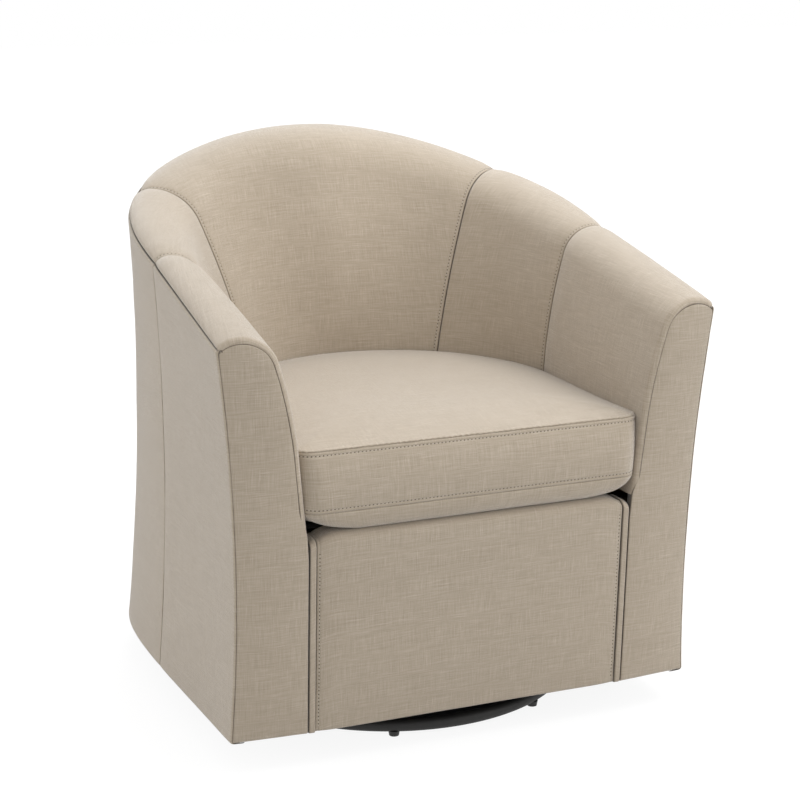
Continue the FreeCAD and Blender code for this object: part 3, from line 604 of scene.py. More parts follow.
# two tones, the size of the noise in turns per metre, and what differs from plainMaterial's own values
plainLooks = {
    "sewingThread": ((0.50, 0.44, 0.36), (0.64, 0.58, 0.49), 900.0, {"roughness": 0.75}),
    # the needle holes: flat dark discs of painted shade
    "needleHoleShade": ((0.045, 0.036, 0.026), (0.08, 0.064, 0.048), 900.0, {"roughness": 0.95}),
    "ringPaint": (
        (0.005, 0.0045, 0.004), (0.012, 0.011, 0.009), 35.0, {"roughness": 0.62, "bumpDepth": 0.00004},
    ),
    "glidePlastic": ((0.010, 0.010, 0.010), (0.022, 0.021, 0.020), 60.0, {"roughness": 0.55}),
    "frameWood": (
        (0.36, 0.24, 0.13), (0.62, 0.46, 0.28), 14.0,
        {"stretch": (1, 1, 9), "roughness": 0.7, "bumpDepth": 0.0004},
    ),
    "plywoodFaces": (
        (0.46, 0.33, 0.19), (0.66, 0.50, 0.32), 10.0,
        {"stretch": (1, 7, 7), "roughness": 0.7, "bumpDepth": 0.0003},
    ),
    "springSteel": ((0.16, 0.16, 0.17), (0.34, 0.34, 0.35), 90.0, {"roughness": 0.42, "metallic": 1.0}),
    "zincSteel": ((0.45, 0.45, 0.46), (0.66, 0.66, 0.64), 120.0, {"roughness": 0.33, "metallic": 1.0}),
    "ballSteel": (
        (0.55, 0.55, 0.57), (0.68, 0.68, 0.69), 160.0, {"roughness": 0.14, "metallic": 1.0, "spread": 0.05},
    ),
    "cageNylon": ((0.50, 0.48, 0.40), (0.62, 0.60, 0.52), 80.0, {}),
    "paddingFoam": ((0.62, 0.58, 0.44), (0.80, 0.76, 0.62), 420.0, {"roughness": 0.95, "bumpDepth": 0.0008}),
}
materials = {name: plainMaterial(name, *tones, **changes) for name, (*tones, changes) in plainLooks.items()}
materials.update({name: linenMaterial(name) for name in ("linenBody", "linenCushion")})
materials["liningCloth"] = liningMaterial("liningCloth")
print("materials made")

slotMaterials = {
    "linen_body": "linenBody", "linen_cushion": "linenCushion", "black_lining_cloth": "liningCloth",
    "padding_foam": "paddingFoam", "zipper_tape": "sewingThread", "frame_wood": "frameWood",
    "plywood": "plywoodFaces", "spring_steel": "springSteel", "zinc_fastener": "zincSteel",
    "swivel_plate_paint": "ringPaint", "bearing_steel": "ballSteel", "bearing_cage_plastic": "cageNylon",
    "black_ring_paint": "ringPaint", "black_glide_plastic": "glidePlastic",
}
for subpart in frame["record"]["subparts"]:
    node = frame["nodes"][subpart["node"]]
    node.data.materials.clear()
    node.data.materials.append(materials[slotMaterials[subpart["material_slot"]]])


# Stitches.
stitchForm = {
    "length": 0.0036,
    "pitch": 0.0058,
    "thickness": 0.0013,
    "slant": 0.20,
    # hole is the size of the dark disc of painted shade in each needle hole
    "hole": 0.0017,
    "lift": 0.0001,
}


def pathWithPitch(points, normals, pitch):
    run = runAlong(points)
    count = int(run[-1] / pitch)
    found = []
    for k in range(count):
        middle = (k + 0.5) * run[-1] / count
        ahead = valuesAt(middle + pitch / 4, run, points) - valuesAt(middle - pitch / 4, run, points)
        up = Vector(valuesAt(middle, run, normals)).normalized()
        found.append((Vector(valuesAt(middle, run, points)), Vector(ahead).normalized(), up))
    return found


def oneStitch():
    # a short round thread, and after it a flat dark disc of painted shade where the needle hole is
    f = stitchForm
    bm = bmesh.new()
    thread = Matrix.Diagonal((f["length"] / 2, f["thickness"] / 2, f["thickness"] / 2.6, 1.0))
    thread = Matrix.Rotation(f["slant"], 4, "Z") @ thread
    bmesh.ops.create_uvsphere(bm, u_segments=6, v_segments=5, radius=1.0, matrix=thread)
    threadFaces = len(bm.faces)
    hole = f["hole"] / 2
    flat = Matrix.Diagonal((hole, hole * 1.3, hole * 0.4, 1.0))
    flat = Matrix.Translation((f["pitch"] / 2, 0, -0.00003)) @ flat
    bmesh.ops.create_uvsphere(bm, u_segments=5, v_segments=4, radius=1.0, matrix=flat)
    for k, face in enumerate(bm.faces):
        face.smooth = True
        face.material_index = 1 if k >= threadFaces else 0
    return meshFrom(bm, "oneStitch")


def makeStitches(name, rows, body):
    pattern = oneStitch()
    bm = bmesh.new()
    for points, normals in rows:
        for p, tangent, normal in pathWithPitch(points, normals, stitchForm["pitch"]):
            sideways = normal.cross(tangent).normalized()
            turn = Matrix((normal.cross(sideways) * -1, sideways, normal)).transposed().to_4x4()
            stitch = pattern.copy()
            stitch.transform(Matrix.Translation(p + normal * stitchForm["lift"]) @ turn)
            bm.from_mesh(stitch)
            bpy.data.meshes.remove(stitch)
    bpy.data.meshes.remove(pattern)
    piece = linked(name, meshFrom(bm, name))
    parts = [face.material_index for face in piece.data.polygons]
    finishPiece(piece, body, "sewingThread")
    # the second slot is the painted shade of the needle holes
    piece.data.materials.append(materials["needleHoleShade"])
    piece.data.polygons.foreach_set("material_index", parts)


def rowAt(made, normal, edge, fromEnd=False, keep=slice(5, None)):
    # the grid row in the topstitch's groove
    index = [row[0] for row in panelEdges[edge]].index(stitchDistance)
    index = -1 - index if fromEnd else index
    return made[index][keep], normal[index][keep]


# The sewn panels of arms, wings and back. The left panels are the right ones' mirrors.
def mirrored(t):
    return (lambda v: 6.0 - t(v)) if callable(t) else 6.0 - t


def between(point, start, end, side="right"):
    tStart, tEnd = (start, end) if side == "right" else (mirrored(end), mirrored(start))

    def surface(u, v):
        first = tStart(v) if callable(tStart) else tStart
        last = tEnd(v) if callable(tEnd) else tEnd
        return point(mix(first, last, u), v)
    return surface


def turned(values, side):
    first, last, low, high = values
    return values if side == "right" else (last, first, low, high)


def frontOf(point):
    return lambda v: frontT(point, v)


panelCells = {"insideArm": (62, 96), "insideWing": (34, 96), "insideBack": (120, 104),
              "outsideArm": (64, 120), "outsideBack": (190, 130), "armFront": (36, 130),
              "apron": (100, 74), "apronBand": (5, 90)}
stitchRows = []
for side in ("right", "left"):
    sewPanel(
        "insideArm_" + side, ("inside_arm_cover_" + side, "arm_foam_" + side), 0.85,
        between(insidePoint, frontOf(insidePoint), 1.0, side),
        turned(("roll", "seam", "corner", "plain"), side),
        panelCells["insideArm"], 11.0, turned((0.0006, 0.0036, 0.0, 0.0), side),
        grain="fromEnd" if side == "right" else "fromStart", bulge=0.002,
    )
    made, normal = sewPanel(
        "insideWing_" + side, ("inside_wing_cover_" + side, "wing_foam_" + side), 0.85,
        between(insidePoint, 1.0, 2.0, side), turned(("stitchedSeam", "seam", "corner", "plain"), side),
        panelCells["insideWing"], 23.0, (0.0040, 0.0040, 0.0, 0.0), bulge=0.003,
    )
    stitchRows.append(rowAt(made, normal, "stitchedSeam", side == "left"))
made, normal = sewPanel(
    "insideBack", ("inside_back_cover", "back_foam"), 0.85, between(insidePoint, 2.0, 4.0),
    ("stitchedSeam", "stitchedSeam", "corner", "plain"), panelCells["insideBack"], 37.0,
    (0.0046, 0.0046, 0.0, 0.0),
)
stitchRows += [rowAt(made, normal, "stitchedSeam", fromEnd) for fromEnd in (False, True)]
makeStitches("insideTopstitch", stitchRows, "chair")
print("inside panels made")

for side in ("right", "left"):
    sewPanel(
        "outsideArm_" + side, ("outside_arm_cover_" + side,), 0.9,
        between(outsidePoint, frontOf(outsidePoint), slantT, side),
        turned(("wrap", "seam", "corner", "hem"), side),
        panelCells["outsideArm"], 41.0, turned((0.0008, 0.0012, 0.0, 0.0), side),
        flip=True, grain="levelSide",
    )
sewPanel(
    "outsideBack", ("outside_back_cover",), 0.9, between(outsidePoint, slantT, mirrored(slantT)),
    ("seam", "seam", "corner", "hem"), panelCells["outsideBack"], 53.0, (0.0012, 0.0012, 0.0, 0.0),
    soft=0.0010, flip=True, grain="level",
)
print("outside panels made")

# The arm fronts. Their seams lie in from the outline, where the side panels roll over the edge.
frontForm = {
    "outerInset": 0.0027,
    "innerInset": 0.0077,
    "cornerRadius": 0.009,
    "topRun": 0.082,
    "apronGap": 0.0012,
    "bendDrop": 0.035,
    "insetRise": 0.004,
    "insetRun": 0.03,
    "fullness": 0.0042,
    "roundShare": 0.14,
    "footShare": 0.12,
}


def armFrontOutline():
    # three runs in the plane of the front, as (x, z): outer side, top and inner side
    f, b = frontForm, bodyForm
    v = np.linspace(0, 1, 260)
    outer = outsidePoint(frontT(outsidePoint, v), v)[::-1]
    inside = insidePoint(frontT(insidePoint, v), v)
    inner = b["apronHalf"] + f["apronGap"]
    split = int(np.argmax(inside[:, 0] < inside[0, 0] - f["topRun"]))
    side = np.concatenate([
        inside[split:, [0, 2]], [[inner, b["deckZ"] - f["bendDrop"]], [inner, b["bottomZ"]]],
    ])
    return outer[:, [0, 2]], inside[: split + 1, [0, 2]], side


def runPoint(run, share):
    lengths = runAlong(run)
    return valuesAt(share * lengths[-1], lengths, run)


def shifted(run, amount):
    tangent = np.gradient(run, axis=0)
    tangent /= np.linalg.norm(tangent, axis=-1, keepdims=True)
    return run + np.stack([-tangent[:, 1], tangent[:, 0]], axis=-1) * amount


def armFrontSurface(sign):
    f = frontForm
    outer, top, side = armFrontOutline()
    outer, top = shifted(outer, f["outerInset"]), shifted(top, f["innerInset"])
    blend = clipped((side[:, 1] - bodyForm["deckZ"] - f["insetRise"]) / f["insetRun"])[:, None]
    side = side * (1 - blend) + shifted(side, f["innerInset"]) * blend
    # the two runs meet in a small round corner
    sharp = np.array([outer[-1, 0], top[0, 1]])
    outer, top = [run[np.linalg.norm(run - sharp, axis=1) > f["cornerRadius"] * 1.02] for run in (outer, top)]
    first, last = outer[-1], top[0]
    bend = [mix(mix(first, sharp, k / 8), mix(sharp, last, k / 8), k / 8) for k in range(1, 8)]
    outer = np.concatenate([outer, bend[:4]])
    top = np.concatenate([bend[3:], top])
    side[0] = top[-1]
    outer[0, 1] = bodyForm["bottomZ"]
    footOut, topOut, topIn, footIn = outer[0], outer[-1], top[-1], side[-1]

    def surface(u, v):
        # u across from the outer side to the inner side, v up from the bottom
        right, up = u[..., None], v[..., None]
        flat = (1 - up) * mix(footOut, footIn, right) + up * runPoint(top, u)
        flat = flat + (1 - right) * runPoint(outer, v) + right * runPoint(side[::-1], v)
        flat = flat - (1 - right) * (1 - up) * footOut - (1 - right) * up * topOut
        flat = flat - right * up * topIn - right * (1 - up) * footIn
        x, z = flat[..., 0], flat[..., 1]
        rounded = np.sin(math.pi * clipped(u)) * np.sin(math.pi / 2 * clipped((1 - v) / f["roundShare"]))
        fullness = f["fullness"] * rounded ** 0.7 * clipped(v / f["footShare"]) ** 0.5
        return np.stack([sign * x, frontPlaneY(x, z) - fullness, z], axis=-1)
    return surface


for side, sign in (("right", 1.0), ("left", -1.0)):
    sewPanel(
        "armFront_" + side, ("arm_front_cover_" + side,), 0.9, armFrontSurface(sign),
        ("seam", "deepSeam", "hem", "seam"), panelCells["armFront"], 61.0, (0.0004, 0.0003, 0.0, 0.0004),
        puckers=0.0002, soft=0.0007, flip=sign > 0, grain="planar",
    )
print("arm fronts made")

# The apron and the bands down its sides.
apron = {
    "foldRadius": 0.014,
    "foldBackY": -0.333,
    "fullness": 0.005,
    "bandWidth": 0.009,
    "bandRise": 0.0007,
    "gap": 0.0004,
    "cornerStart": 0.205,
    "cornerFootZ": 0.28,
    "cornerDrop": 0.012,
}


def apronRun(v, rise=0.0):
    # v from 0 at the bottom edge, up the leaning front and over the fold
    b = bodyForm
    lean = math.atan(b["frontLean"])
    radius = apron["foldRadius"] + rise
    centerZ = b["deckZ"] - apron["foldRadius"]
    centerY = b["frontY"] - b["frontLean"] * (centerZ - b["bottomZ"]) + apron["foldRadius"] / math.cos(lean)
    tangentY = centerY - radius * math.cos(lean)
    tangentZ = centerZ - radius * math.sin(lean)
    footY = b["frontY"] - rise / math.cos(lean)
    straight = math.hypot(tangentZ - b["bottomZ"], tangentY - footY)
    curve = radius * (math.pi / 2 + lean)
    length = v * (straight + curve + apron["foldBackY"] - centerY)
    share = length / straight
    angle = math.pi + lean - (length - straight) / radius
    onArc = centerY + radius * np.cos(angle), centerZ + radius * np.sin(angle)
    onTop = centerY + length - straight - curve, centerZ + radius
    onFront = mix(footY, tangentY, share), mix(b["bottomZ"], tangentZ, share)
    past = [length > straight + curve, length >= straight]
    return [np.select(past, [top, arc], front) for top, arc, front in zip(onTop, onArc, onFront)]


def apronSurface(left, right, rise=0.0, fullness=0.0):
    def surface(u, v):
        a = apron
        x = mix(left, right, u)
        y, z = apronRun(v, rise)
        y = y - fullness * clipped(4 * u * (1 - u)) ** 0.5 * clipped(v * 1.3 * (1 - v) * 4)
        outer = clipped((np.abs(x) - a["cornerStart"]) / (bodyForm["apronHalf"] - a["cornerStart"]))
        upper = clipped((z - a["cornerFootZ"]) / (bodyForm["deckZ"] - a["cornerFootZ"]))
        z = z - a["cornerDrop"] * outer ** 2 * upper ** 2
        return np.stack([x + 0 * y, y, z], axis=-1)
    return surface


innerHalf = bodyForm["apronHalf"] - apron["bandWidth"] - apron["gap"]
made, normal = sewPanel(
    "apron", ("apron_cover", "apron_pad"), 0.9, apronSurface(-innerHalf, innerHalf, 0.0, apron["fullness"]),
    ("softSeam", "softSeam", "hem", "plain"), panelCells["apron"], 71.0, (0.0034, 0.0026, 0.0, 0.0),
    soft=0.0010,
)
apronStitches = [rowAt(made, normal, "softSeam", fromEnd, slice(7, -14)) for fromEnd in (False, True)]
makeStitches("apronTopstitch", apronStitches, "chair")
for side, sign in (("right", 1.0), ("left", -1.0)):
    edges = sorted((sign * (bodyForm["apronHalf"] - apron["bandWidth"]), sign * bodyForm["apronHalf"]))
    sewPanel(
        "apronBand_" + side, ("apron_welt_" + side,), 0.9, apronSurface(*edges, apron["bandRise"]),
        ("bandEdge", "bandEdge", "hem", "plain"), panelCells["apronBand"], 77.0, soft=0.0005,
    )
print("apron made")


# Seat cushion. Rows run down its outside: 0 to 1 over the top, 1 to 2 down the band, 2 to 3 round the
# foot and 3 to 4 underneath. The seam between top and band is row 1, between band and foot row 2.
cushionForm = {
    "gap": 0.0012,
    "frontY": -0.384,
    "upperBack": 0.012,
    "lowerSeamZ": 0.387,
    "upperSeamZ": 0.474,
    "bottomZ": 0.3545,
    "crown": 0.0165,
    "crownRun": 0.135,
    "crownPower": 0.62,
    "fullness": 0.006,
    "corner": 0.030,
    "cornerGrowth": 0.004,
    "cornerSwell": 0.006,
    "swellHalf": 0.2,
    "swellY": -0.29,
    "swellRun": 0.07,
    "footInset": 0.021,
    "cornerLift": 0.016,
    "liftRight": 0.6,
    "liftHalf": 0.175,
    "liftRunX": 0.08,
    "liftY": -0.28,
    "liftRunY": 0.07,
    "middleY": -0.10,
    "around": 440,
    "cells": {"top": 44, "band": 26, "foot": 8, "under": 14},
    "topLength": 0.27,
    "footLength": 0.042,
}
cushionLengths = {
    "top": cushionForm["topLength"],
    "band": cushionForm["upperSeamZ"] - cushionForm["lowerSeamZ"],
    "foot": cushionForm["footLength"],
}
# Air in the cushion: cells of the coarse copy, pressure, the most that it swells, and how far back it may.
airForm = {
    "cells": (12, 8, 4, 5),
    "around": 88,
    "pressure": 4.0,
    "frames": 20,
    "quality": 6,
    "limit": 0.008,
    "frontY": -0.30,
    "run": 0.06,
    "least": 0.12,
}
# the cushion's edges as in panelEdges, their shade painted shade in the seams and the topstitch groove,
# and noise as (depth, size, seed)
cushionEdges = {
    "top": (
        (0.0, 1.3, 0.25), (0.4, 0.8, 0.15), (0.9, 0.1, 0.0), (1.6, -0.35, 0.0), (2.6, -0.35, 0.0),
        (4.0, -0.15, 0.0), (6.0, 0.0, 0.0), (9.0, 0.0, 0.0), (13.0, 0.0, 0.0),
    ),
    "band": (
        (0.0, 1.3, 0.25), (0.4, 0.8, 0.15), (0.9, 0.1, 0.0), (1.6, -0.35, 0.0), (2.6, -0.3, 0.0),
        (3.8, 0.0, 0.0), (4.5, 0.45, 0.12), (5.2, 0.7, 0.25), (5.9, 0.45, 0.12), (6.8, 0.0, 0.0),
        (8.5, -0.1, 0.0), (12.0, 0.0, 0.0),
    ),
}
cushionWaves = ((0.0011, 0.11, 3.0), (0.0004, 0.04, 5.0))
cushionTucks = (0.0005, 0.012, 7.0)
tuckReach = 0.010


def seatOutline(inset, front, corner):
    # closed outline of the seat space, from the middle of the front round the right side and back
    b = bodyForm

    def halfAt(y):
        return mix(b["seatHalf"], b["seatFrontHalf"], (b["seatTurnY"] - y) / (b["seatTurnY"] - b["frontY"]))
    side = halfAt(front + corner) - inset
    right = [(x, front) for x in np.linspace(0.0, side - corner, 60)]
    for a in np.linspace(0, math.pi / 2, 16)[1:]:
        right.append((side - corner + corner * math.sin(a), front + corner - corner * math.cos(a)))
    for y in np.linspace(front + corner, b["seatTurnY"], 40)[1:]:
        right.append((halfAt(y) - inset, y))
    for a in np.linspace(0, math.pi / 2, 90)[1:]:
        reach = outlineReach("seat", b["seatTurnY"], a) - inset
        right.append((reach * math.cos(a), b["seatTurnY"] + reach * math.sin(a)))
    right = np.array(right)
    return np.concatenate([right, (right * [-1, 1])[::-1][1:]])


def loopAt(shares, inset, front, corner):
    c = cushionForm
    loop = seatOutline(inset, front, corner)
    ahead = clipped((c["swellY"] - loop[:, 1]) / c["swellRun"])
    loop[:, 0] += np.clip(loop[:, 0] / c["swellHalf"], -1, 1) ** 3 * c["cornerSwell"] * ahead
    return runPoint(loop, shares)


def nearest(points, loop):
    gaps = points[:, None, :] - loop[None, ::2, :]
    return np.sqrt((gaps ** 2).sum(axis=-1)).min(axis=1)


def cushionRow(row, shares, upper):
    c, b = cushionForm, bodyForm
    middle = np.array([0.0, c["middleY"]])

    def sideLoop(z, share, inset=0.0):
        full = 4 * share * (1 - share) if 0 < share < 1 else 0.0
        lean = b["underSeatLean"] * max(b["seatLineZ"] - z, 0.0) / (b["seatLineZ"] - b["deckZ"])
        front = c["frontY"] + c["upperBack"] * max(share, 0.0) - c["fullness"] * full + inset
        return loopAt(shares, c["gap"] + lean + inset, front, c["corner"] + c["cornerGrowth"] * full)
    if row <= 1:
        flat = middle + (upper - middle) * row
        away = clipped(nearest(flat, upper) / c["crownRun"])
        height = c["upperSeamZ"] + c["crown"] * np.sin(math.pi / 2 * away) ** c["crownPower"]
    elif row <= 2:
        height = mix(c["upperSeamZ"], c["lowerSeamZ"], row - 1)
        flat = sideLoop(height, 2 - row)
    else:
        turn = min(row - 2, 1.0) * math.pi / 2
        height = mix(c["lowerSeamZ"], c["bottomZ"], math.sin(turn))
        flat = sideLoop(height, 0.0, c["footInset"] * (1 - math.cos(turn)))
        if row > 3:
            flat = middle + (flat - middle) * (4 - row)
    points = np.concatenate([flat, np.full((len(flat), 1), 1.0) * np.reshape(height, (-1, 1))], axis=1)
    # the underside rises towards the front corners
    x, y, z = points.T
    below = clipped((c["lowerSeamZ"] - z) / (c["lowerSeamZ"] - c["bottomZ"]))
    outer = clipped((np.abs(x) - c["liftHalf"]) / c["liftRunX"]) * clipped((c["liftY"] - y) / c["liftRunY"])
    points[:, 2] += c["cornerLift"] * np.where(x > 0, c["liftRight"], 1.0) * below * outer ** 1.5
    return points


def cushionGrid(shares, rows):
    c = cushionForm
    upper = loopAt(shares, c["gap"], c["frontY"] + c["upperBack"], c["corner"])
    return np.stack([cushionRow(row, shares, upper) for row in rows], axis=1)


def cushionRows():
    # every row as (place, depth, shade, part), with the seam rows twice, once for each side
    cells, lengths = cushionForm["cells"], cushionLengths

    def edgeOf(kind, part):
        return [(d / 1000 / lengths[part], depth, shade) for d, depth, shade in cushionEdges[kind]]
    edge = edgeOf("top", "top")
    rows = [(k / cells["top"] * (1 - edge[-1][0]), 0.0, 0.0, "top") for k in range(cells["top"])]
    rows += [(1 - up, *values, "top") for up, *values in reversed(edge)]
    edge = edgeOf("band", "band")
    rows += [(1 + down, *values, "band") for down, *values in edge]
    first, last = edge[-1][0], 1 - edge[-1][0]
    rows += [(1 + mix(first, last, k / cells["band"]), 0.0, 0.0, "band") for k in range(1, cells["band"])]
    rows += [(2 - up, *values, "band") for up, *values in reversed(edge)]
    edge = edgeOf("top", "foot")
    rows += [(2 + down, *values, "foot") for down, *values in edge]
    footSteps = range(1, cells["foot"] + 1)
    rows += [(2 + mix(edge[-1][0], 1.0, k / cells["foot"]), 0.0, 0.0, "foot") for k in footSteps]
    rows += [(3 + k / cells["under"], 0.0, 0.0, "under") for k in range(cells["under"] + 1)]
    return rows


def puffCushion(shares, places, points):
    # a coarse copy filled with air, its seams held; gives how far each point of the fine rows moves
    f = airForm
    coarseRows = [part + k / count for part, count in enumerate(f["cells"]) for k in range(1, count + 1)]
    coarseRows = [0.0] + coarseRows
    coarseShares = np.arange(f["around"] + 1) / f["around"]
    start = cushionGrid(coarseShares, coarseRows)
    piece = gridObject("airTrial", start, start[..., :2], None, True)
    rest = np.array([vert.co for vert in piece.data.vertices])
    index = np.array([int(((rest - p) ** 2).sum(axis=-1).argmin()) for p in start.reshape(-1, 3)])
    rowOf = np.tile(coarseRows, len(coarseShares))
    seams = (np.abs(rowOf - 1) < 0.001) | (np.abs(rowOf - 2) < 0.001) | (rowOf > 2.9)
    group = piece.vertex_groups.new(name="heldSeams")
    group.add(sorted(set(index[seams].tolist())), 1.0, "REPLACE")
    cloth = piece.modifiers.new("air", "CLOTH")
    cloth.settings.vertex_group_mass = "heldSeams"
    cloth.settings.use_pressure = True
    cloth.settings.uniform_pressure_force = f["pressure"]
    cloth.settings.effector_weights.gravity = 0.0
    cloth.settings.quality = f["quality"]
    cloth.collision_settings.use_collision = False
    for step in range(1, f["frames"] + 1):
        bpy.context.scene.frame_set(step)
    swollen = piece.evaluated_get(bpy.context.evaluated_depsgraph_get())
    ended = np.array([vert.co for vert in swollen.data.vertices])
    bpy.context.scene.frame_set(1)
    bpy.data.objects.remove(piece)
    moved = (ended - rest)[index].reshape(start.shape)
    moved = moved * f["limit"] / (f["limit"] + np.linalg.norm(moved, axis=-1, keepdims=True))
    alongRows = np.stack([valuesAt(places, coarseRows, line) for line in moved])
    fine = [valuesAt(shares, coarseShares, alongRows[:, j]) for j in range(len(places))]
    # the sides and back keep to the seat space
    puff = np.stack(fine, axis=1)
    puff[..., :2] *= np.clip((f["frontY"] - points[..., 1:2]) / f["run"], f["least"], 1)
    return puff


def gridNormals(points):
    around = np.gradient(points, axis=0)
    around[0] = around[-1] = points[1] - points[-2]
    normal = np.cross(np.gradient(points, axis=1), around)
    normal = normal / np.maximum(np.linalg.norm(normal, axis=-1, keepdims=True), 1e-12)
    normal[:, :2] = (0, 0, 1)
    normal[:, -2:] = (0, 0, -1)
    return normal


shares = np.arange(cushionForm["around"] + 1) / cushionForm["around"]
rowList = cushionRows()
places, depths, shades = [np.array([row[column] for row in rowList]) for column in range(3)]
points = cushionGrid(shares, places)
points = points + puffCushion(shares, places, points)
print("cushion filled")
normal = gridNormals(points)
if (normal[:, len(places) // 2, :2] * points[:, len(places) // 2, :2]).sum() < 0:
    normal[:, 2:-2] *= -1
# the two copies of a seam row share one normal, so that they meet
for k in range(1, len(places) - 1):
    if places[k] == places[k + 1]:
        shared = normal[:, k - 1] + normal[:, k + 2]
        shared /= np.linalg.norm(shared, axis=-1, keepdims=True)
        normal[:, k] = normal[:, k + 1] = shared
toSeam = np.minimum(
    np.abs(places - 1) * np.where(places < 1, cushionLengths["top"], cushionLengths["band"]),
    np.abs(places - 2) * np.where(places > 2, cushionLengths["foot"], cushionLengths["band"]),
)
waves = sum(amount * softNoise(points, size, seed) for amount, size, seed in cushionWaves)
tucks = cushionTucks[0] * softNoise(points, *cushionTucks[1:]) * np.exp(-toSeam / tuckReach)[None]
made = points - normal * (depths[None] / 1000 + waves + tucks)[..., None]
made[-1] = made[0]
made[:, 0] = made[:, 0].mean(axis=0)
made[:, -1] = made[:, -1].mean(axis=0)
aroundRun = runAlong(points[:, np.argmin(np.abs(places - 1.5))])
uv = made[..., :2].copy()
for k, (down, _, _, part) in enumerate(rowList):
    if part == "band":
        uv[:, k, 0], uv[:, k, 1] = aroundRun, cushionForm["upperSeamZ"] - (down - 1) * cushionLengths["band"]
    elif part == "foot":
        uv[:, k, 0], uv[:, k, 1] = aroundRun, -down * cushionLengths["foot"]
seatCushion = gridObject("seatCushion", made, uv, np.repeat(shades[None], len(shares), 0), True)
finishPiece(
    seatCushion, "cushion", "linenCushion", ("seat_cushion_cover", "seat_cushion_core"),
)
fromSeam = stitchDistance / 1000 / cushionLengths["band"]
stitched = [int(np.argmin(np.abs(places - target))) for target in (1 + fromSeam, 2 - fromSeam)]
cushionStitches = [(made[:, k], normal[:, k]) for k in stitched]
makeStitches("cushionTopstitch", cushionStitches, "cushion")
print("cushion made")

# The deck cloth under the cushion and the dust cloth that closes the bottom.
deckForm = {"gap": 0.002, "frontY": -0.331, "corner": 0.006, "middle": (0.0, -0.08), "hole": 0.0005,
            "rings": 26, "z": 0.3525, "edgeDrop": 0.0012, "wave": 0.0008, "waveTurns": 60}
dustForm = {"inset": 0.006, "frontY": -0.354, "frontGap": 0.006, "middle": (0.0, -0.043), "hole": 0.018,
            "rings": 30, "z": 0.0515, "sag": 0.0022, "sagStart": 0.25, "frontPoints": 60}
clothThickness = 0.001


def clothDisc(name, form, loop, heightOf):
    # a cloth between an outline and a round hole
    closed = np.concatenate([loop, loop[:1]])
    x, y = (closed - form["middle"]).T
    angle = np.arctan2(y, x)
    inner = form["middle"] + form["hole"] * np.stack([np.cos(angle), np.sin(angle)], axis=-1)
    share = np.linspace(0, 1, form["rings"])[:, None, None]
    flat = inner[None] * (1 - share) + closed[None] * share
    z = heightOf(flat, np.broadcast_to(share[..., 0], flat.shape[:2]))
    piece = gridObject(name, np.concatenate([flat, z[..., None]], axis=-1), flat, None, True)
    thicken = piece.modifiers.new("clothThickness", "SOLIDIFY")
    thicken.thickness = clothThickness
    thicken.offset = 0.0
    return piece


def deckHeight(flat, share):
    d = deckForm
    return d["z"] - d["edgeDrop"] * share + d["wave"] * np.sin(flat[..., 0] * d["waveTurns"]) * (1 - share)


def dustHeight(flat, share):
    d = dustForm
    return d["z"] - d["sag"] * np.sin(math.pi * clipped((share - d["sagStart"]) / (1 - d["sagStart"]))) ** 2


deckInset = bodyForm["underSeatLean"] + deckForm["gap"]
deckLoop = seatOutline(deckInset, deckForm["frontY"], deckForm["corner"])[:-1]
deckCloth = clothDisc("deckCloth", deckForm, deckLoop[::3], deckHeight)
finishPiece(deckCloth, "chair", "liningCloth", ("deck_cover", "deck_pad"))

bottomStations = station(np.linspace(0.0, 6.0, 260))
bottomLoop = place(bottomStations, bottomStations["bottom"] - dustForm["inset"], 0.0)[:, :2]
frontX = np.linspace(bottomLoop[-1, 0], bottomLoop[0, 0], dustForm["frontPoints"])[1:-1]
dustLoop = np.concatenate([bottomLoop, np.stack([frontX, np.full_like(frontX, dustForm["frontY"])], axis=-1)])
frontX = np.maximum(np.abs(dustLoop[:, 0]), bodyForm["apronHalf"])
dustLoop[:, 1] = np.maximum(dustLoop[:, 1], frontPlaneY(frontX, bodyForm["bottomZ"]) + dustForm["frontGap"])
dustCloth = clothDisc("dustCloth", dustForm, dustLoop, dustHeight)
finishPiece(dustCloth, "chair", "liningCloth", ("dust_cover",))
print("cloths made")

# The ring that the chair stands on.
ringForm = {"centerY": -0.043, "radius": 0.280, "tube": 0.010, "z": 0.016, "sides": 28, "steps": 200}
bm = bmesh.new()
upright = Matrix.Rotation(math.pi / 2, 4, "X")
upright = Matrix.Translation((ringForm["radius"], ringForm["centerY"], ringForm["z"])) @ upright
bmesh.ops.create_circle(bm, segments=ringForm["sides"], radius=ringForm["tube"], matrix=upright)
bmesh.ops.spin(
    bm, geom=bm.edges[:], cent=(0, ringForm["centerY"], 0), axis=(0, 0, 1), angle=math.tau,
    steps=ringForm["steps"], use_merge=True,
)
weld(bm)
for face in bm.faces:
    face.smooth = True
ringTube = linked("ringTube", meshFrom(bm, "ringTube"))
finishPiece(ringTube, "base", "ringPaint", ("base_ring",))
print("base made")

# Stage, light and camera.
view = {"azimuth": -22.716, "elevation": 14.232, "place": (-1.15106, -2.84238, 1.21633), "lens": 88.5485}
worldLight = 0.76
lights = {
    "top": {"place": (1.3, -0.6, 2.5), "size": 1.6, "power": 37.0},
    "back": {"place": (0.8, 1.6, 2.4), "size": 1.6, "power": 34.0},
    "frontRight": {"place": (3.0, -2.4, 1.4), "size": 1.6, "power": 20.0},
    "left": {"place": (-3.0, 0.5, 0.75), "size": 1.6, "power": 18.0},
}
lightTarget = Vector((0, 0, 0.45))
# the floor is white far off; close by it keeps a soft shadow, partly cast and partly painted as a dimmer
# glow, and under the chair it has a painted shadow, a dark disc without glow
floorLook = {
    # middle, near and edge place the painted shadow under the chair
    "middle": (0.005, -0.032),
    "near": 0.262,
    "edge": 0.268,
    "far": 1.2,
    "paintedShadowEdgeGlow": 0.90,
    "farSeen": 1.0,
    "diffuse": 0.12,
    "bounce": 0.62,
    "size": 14.0,
}


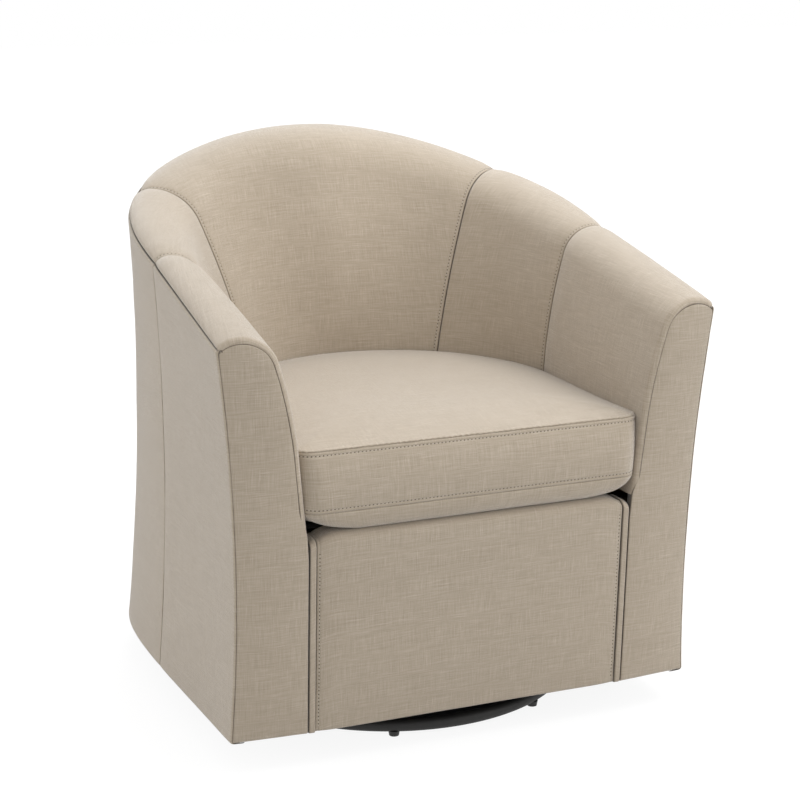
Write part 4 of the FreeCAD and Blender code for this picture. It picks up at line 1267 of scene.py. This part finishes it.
def directRay(tree):
    # one where the camera, a mirror or a clear piece sees the surface
    rays = addNode(tree, "LightPath")
    direct = mathNode(tree, "MAXIMUM", rays["Is Camera Ray"], rays["Is Glossy Ray"])
    return mathNode(tree, "MAXIMUM", direct, rays["Is Transmission Ray"])


def makeFloor():
    f = floorLook
    bm = bmesh.new()
    bmesh.ops.create_grid(bm, x_segments=4, y_segments=4, size=f["size"])
    floor = linked("studioFloor", meshFrom(bm, "studioFloor"))
    material, tree = newMaterial("paleFloorPaintedShadow")
    axes = addNode(tree, "SeparateXYZ", {0: objectVector(tree)})
    across, along = [minus(tree, axes[k], f["middle"][k]) for k in range(2)]
    squares = mathNode(tree, "MULTIPLY_ADD", along, along, times(tree, across, across))
    distance = mathNode(tree, "SQRT", squares)
    # the glow seen is none inside near, a painted shadow under the chair, and rises from the edge value at
    # edge to farSeen far off, a painted soft shadow round the chair
    inner, outer = [
        limited(tree, mathNode(tree, "DIVIDE", minus(tree, distance, f[near]), f[far] - f[near]))
        for near, far in (("near", "edge"), ("edge", "far"))
    ]
    level = times(tree, inner, f["paintedShadowEdgeGlow"])
    level = mathNode(tree, "MULTIPLY_ADD", outer, f["farSeen"] - f["paintedShadowEdgeGlow"], level)
    greys = [(f[key], f[key], f[key], 1.0) for key in ("diffuse", "bounce")]
    shaded, plain = [addNode(tree, "BsdfDiffuse", {"Color": grey})[0] for grey in greys]
    seen = addNode(tree, "AddShader", {0: addNode(tree, "Emission", {"Strength": level})[0], 1: shaded})[0]
    chosen = addNode(tree, "MixShader", {0: directRay(tree), 1: plain, 2: seen})[0]
    addNode(tree, "OutputMaterial", {"Surface": chosen})
    floor.data.materials.append(material)


def makeWorld():
    world = bpy.data.worlds.new("studioWorld")
    bpy.context.scene.world = world
    tree = emptyTree(world)
    strength = plus(tree, times(tree, directRay(tree), 1.0 - worldLight), worldLight)
    background = addNode(tree, "Background", {"Strength": strength, "Color": (1, 1, 1, 1)})[0]
    addNode(tree, "OutputWorld", {"Surface": background})


def aim(piece, spot, direction):
    piece.location = spot
    piece.rotation_mode = "QUATERNION"
    piece.rotation_quaternion = direction.to_track_quat("-Z", "Y")


makeFloor()
makeWorld()
for name, form in lights.items():
    lampData = bpy.data.lights.new(name + "Softbox", "AREA")
    lampData.shape = "SQUARE"
    lampData.size = form["size"]
    lampData.energy = form["power"]
    aim(linked(name + "Softbox", lampData), form["place"], lightTarget - Vector(form["place"]))
cameraData = bpy.data.cameras.new("viewCamera")
cameraData.sensor_width = 36.0
cameraData.lens = view["lens"]
camera = linked("viewCamera", cameraData)
azimuth, elevation = math.radians(view["azimuth"]), math.radians(view["elevation"])
level = math.cos(elevation)
ahead = Vector((-math.sin(azimuth) * level, math.cos(azimuth) * level, -math.sin(elevation)))
aim(camera, view["place"], ahead)
bpy.context.scene.camera = camera
bpy.context.scene.view_settings.view_transform = "Standard"

print("scene ready")
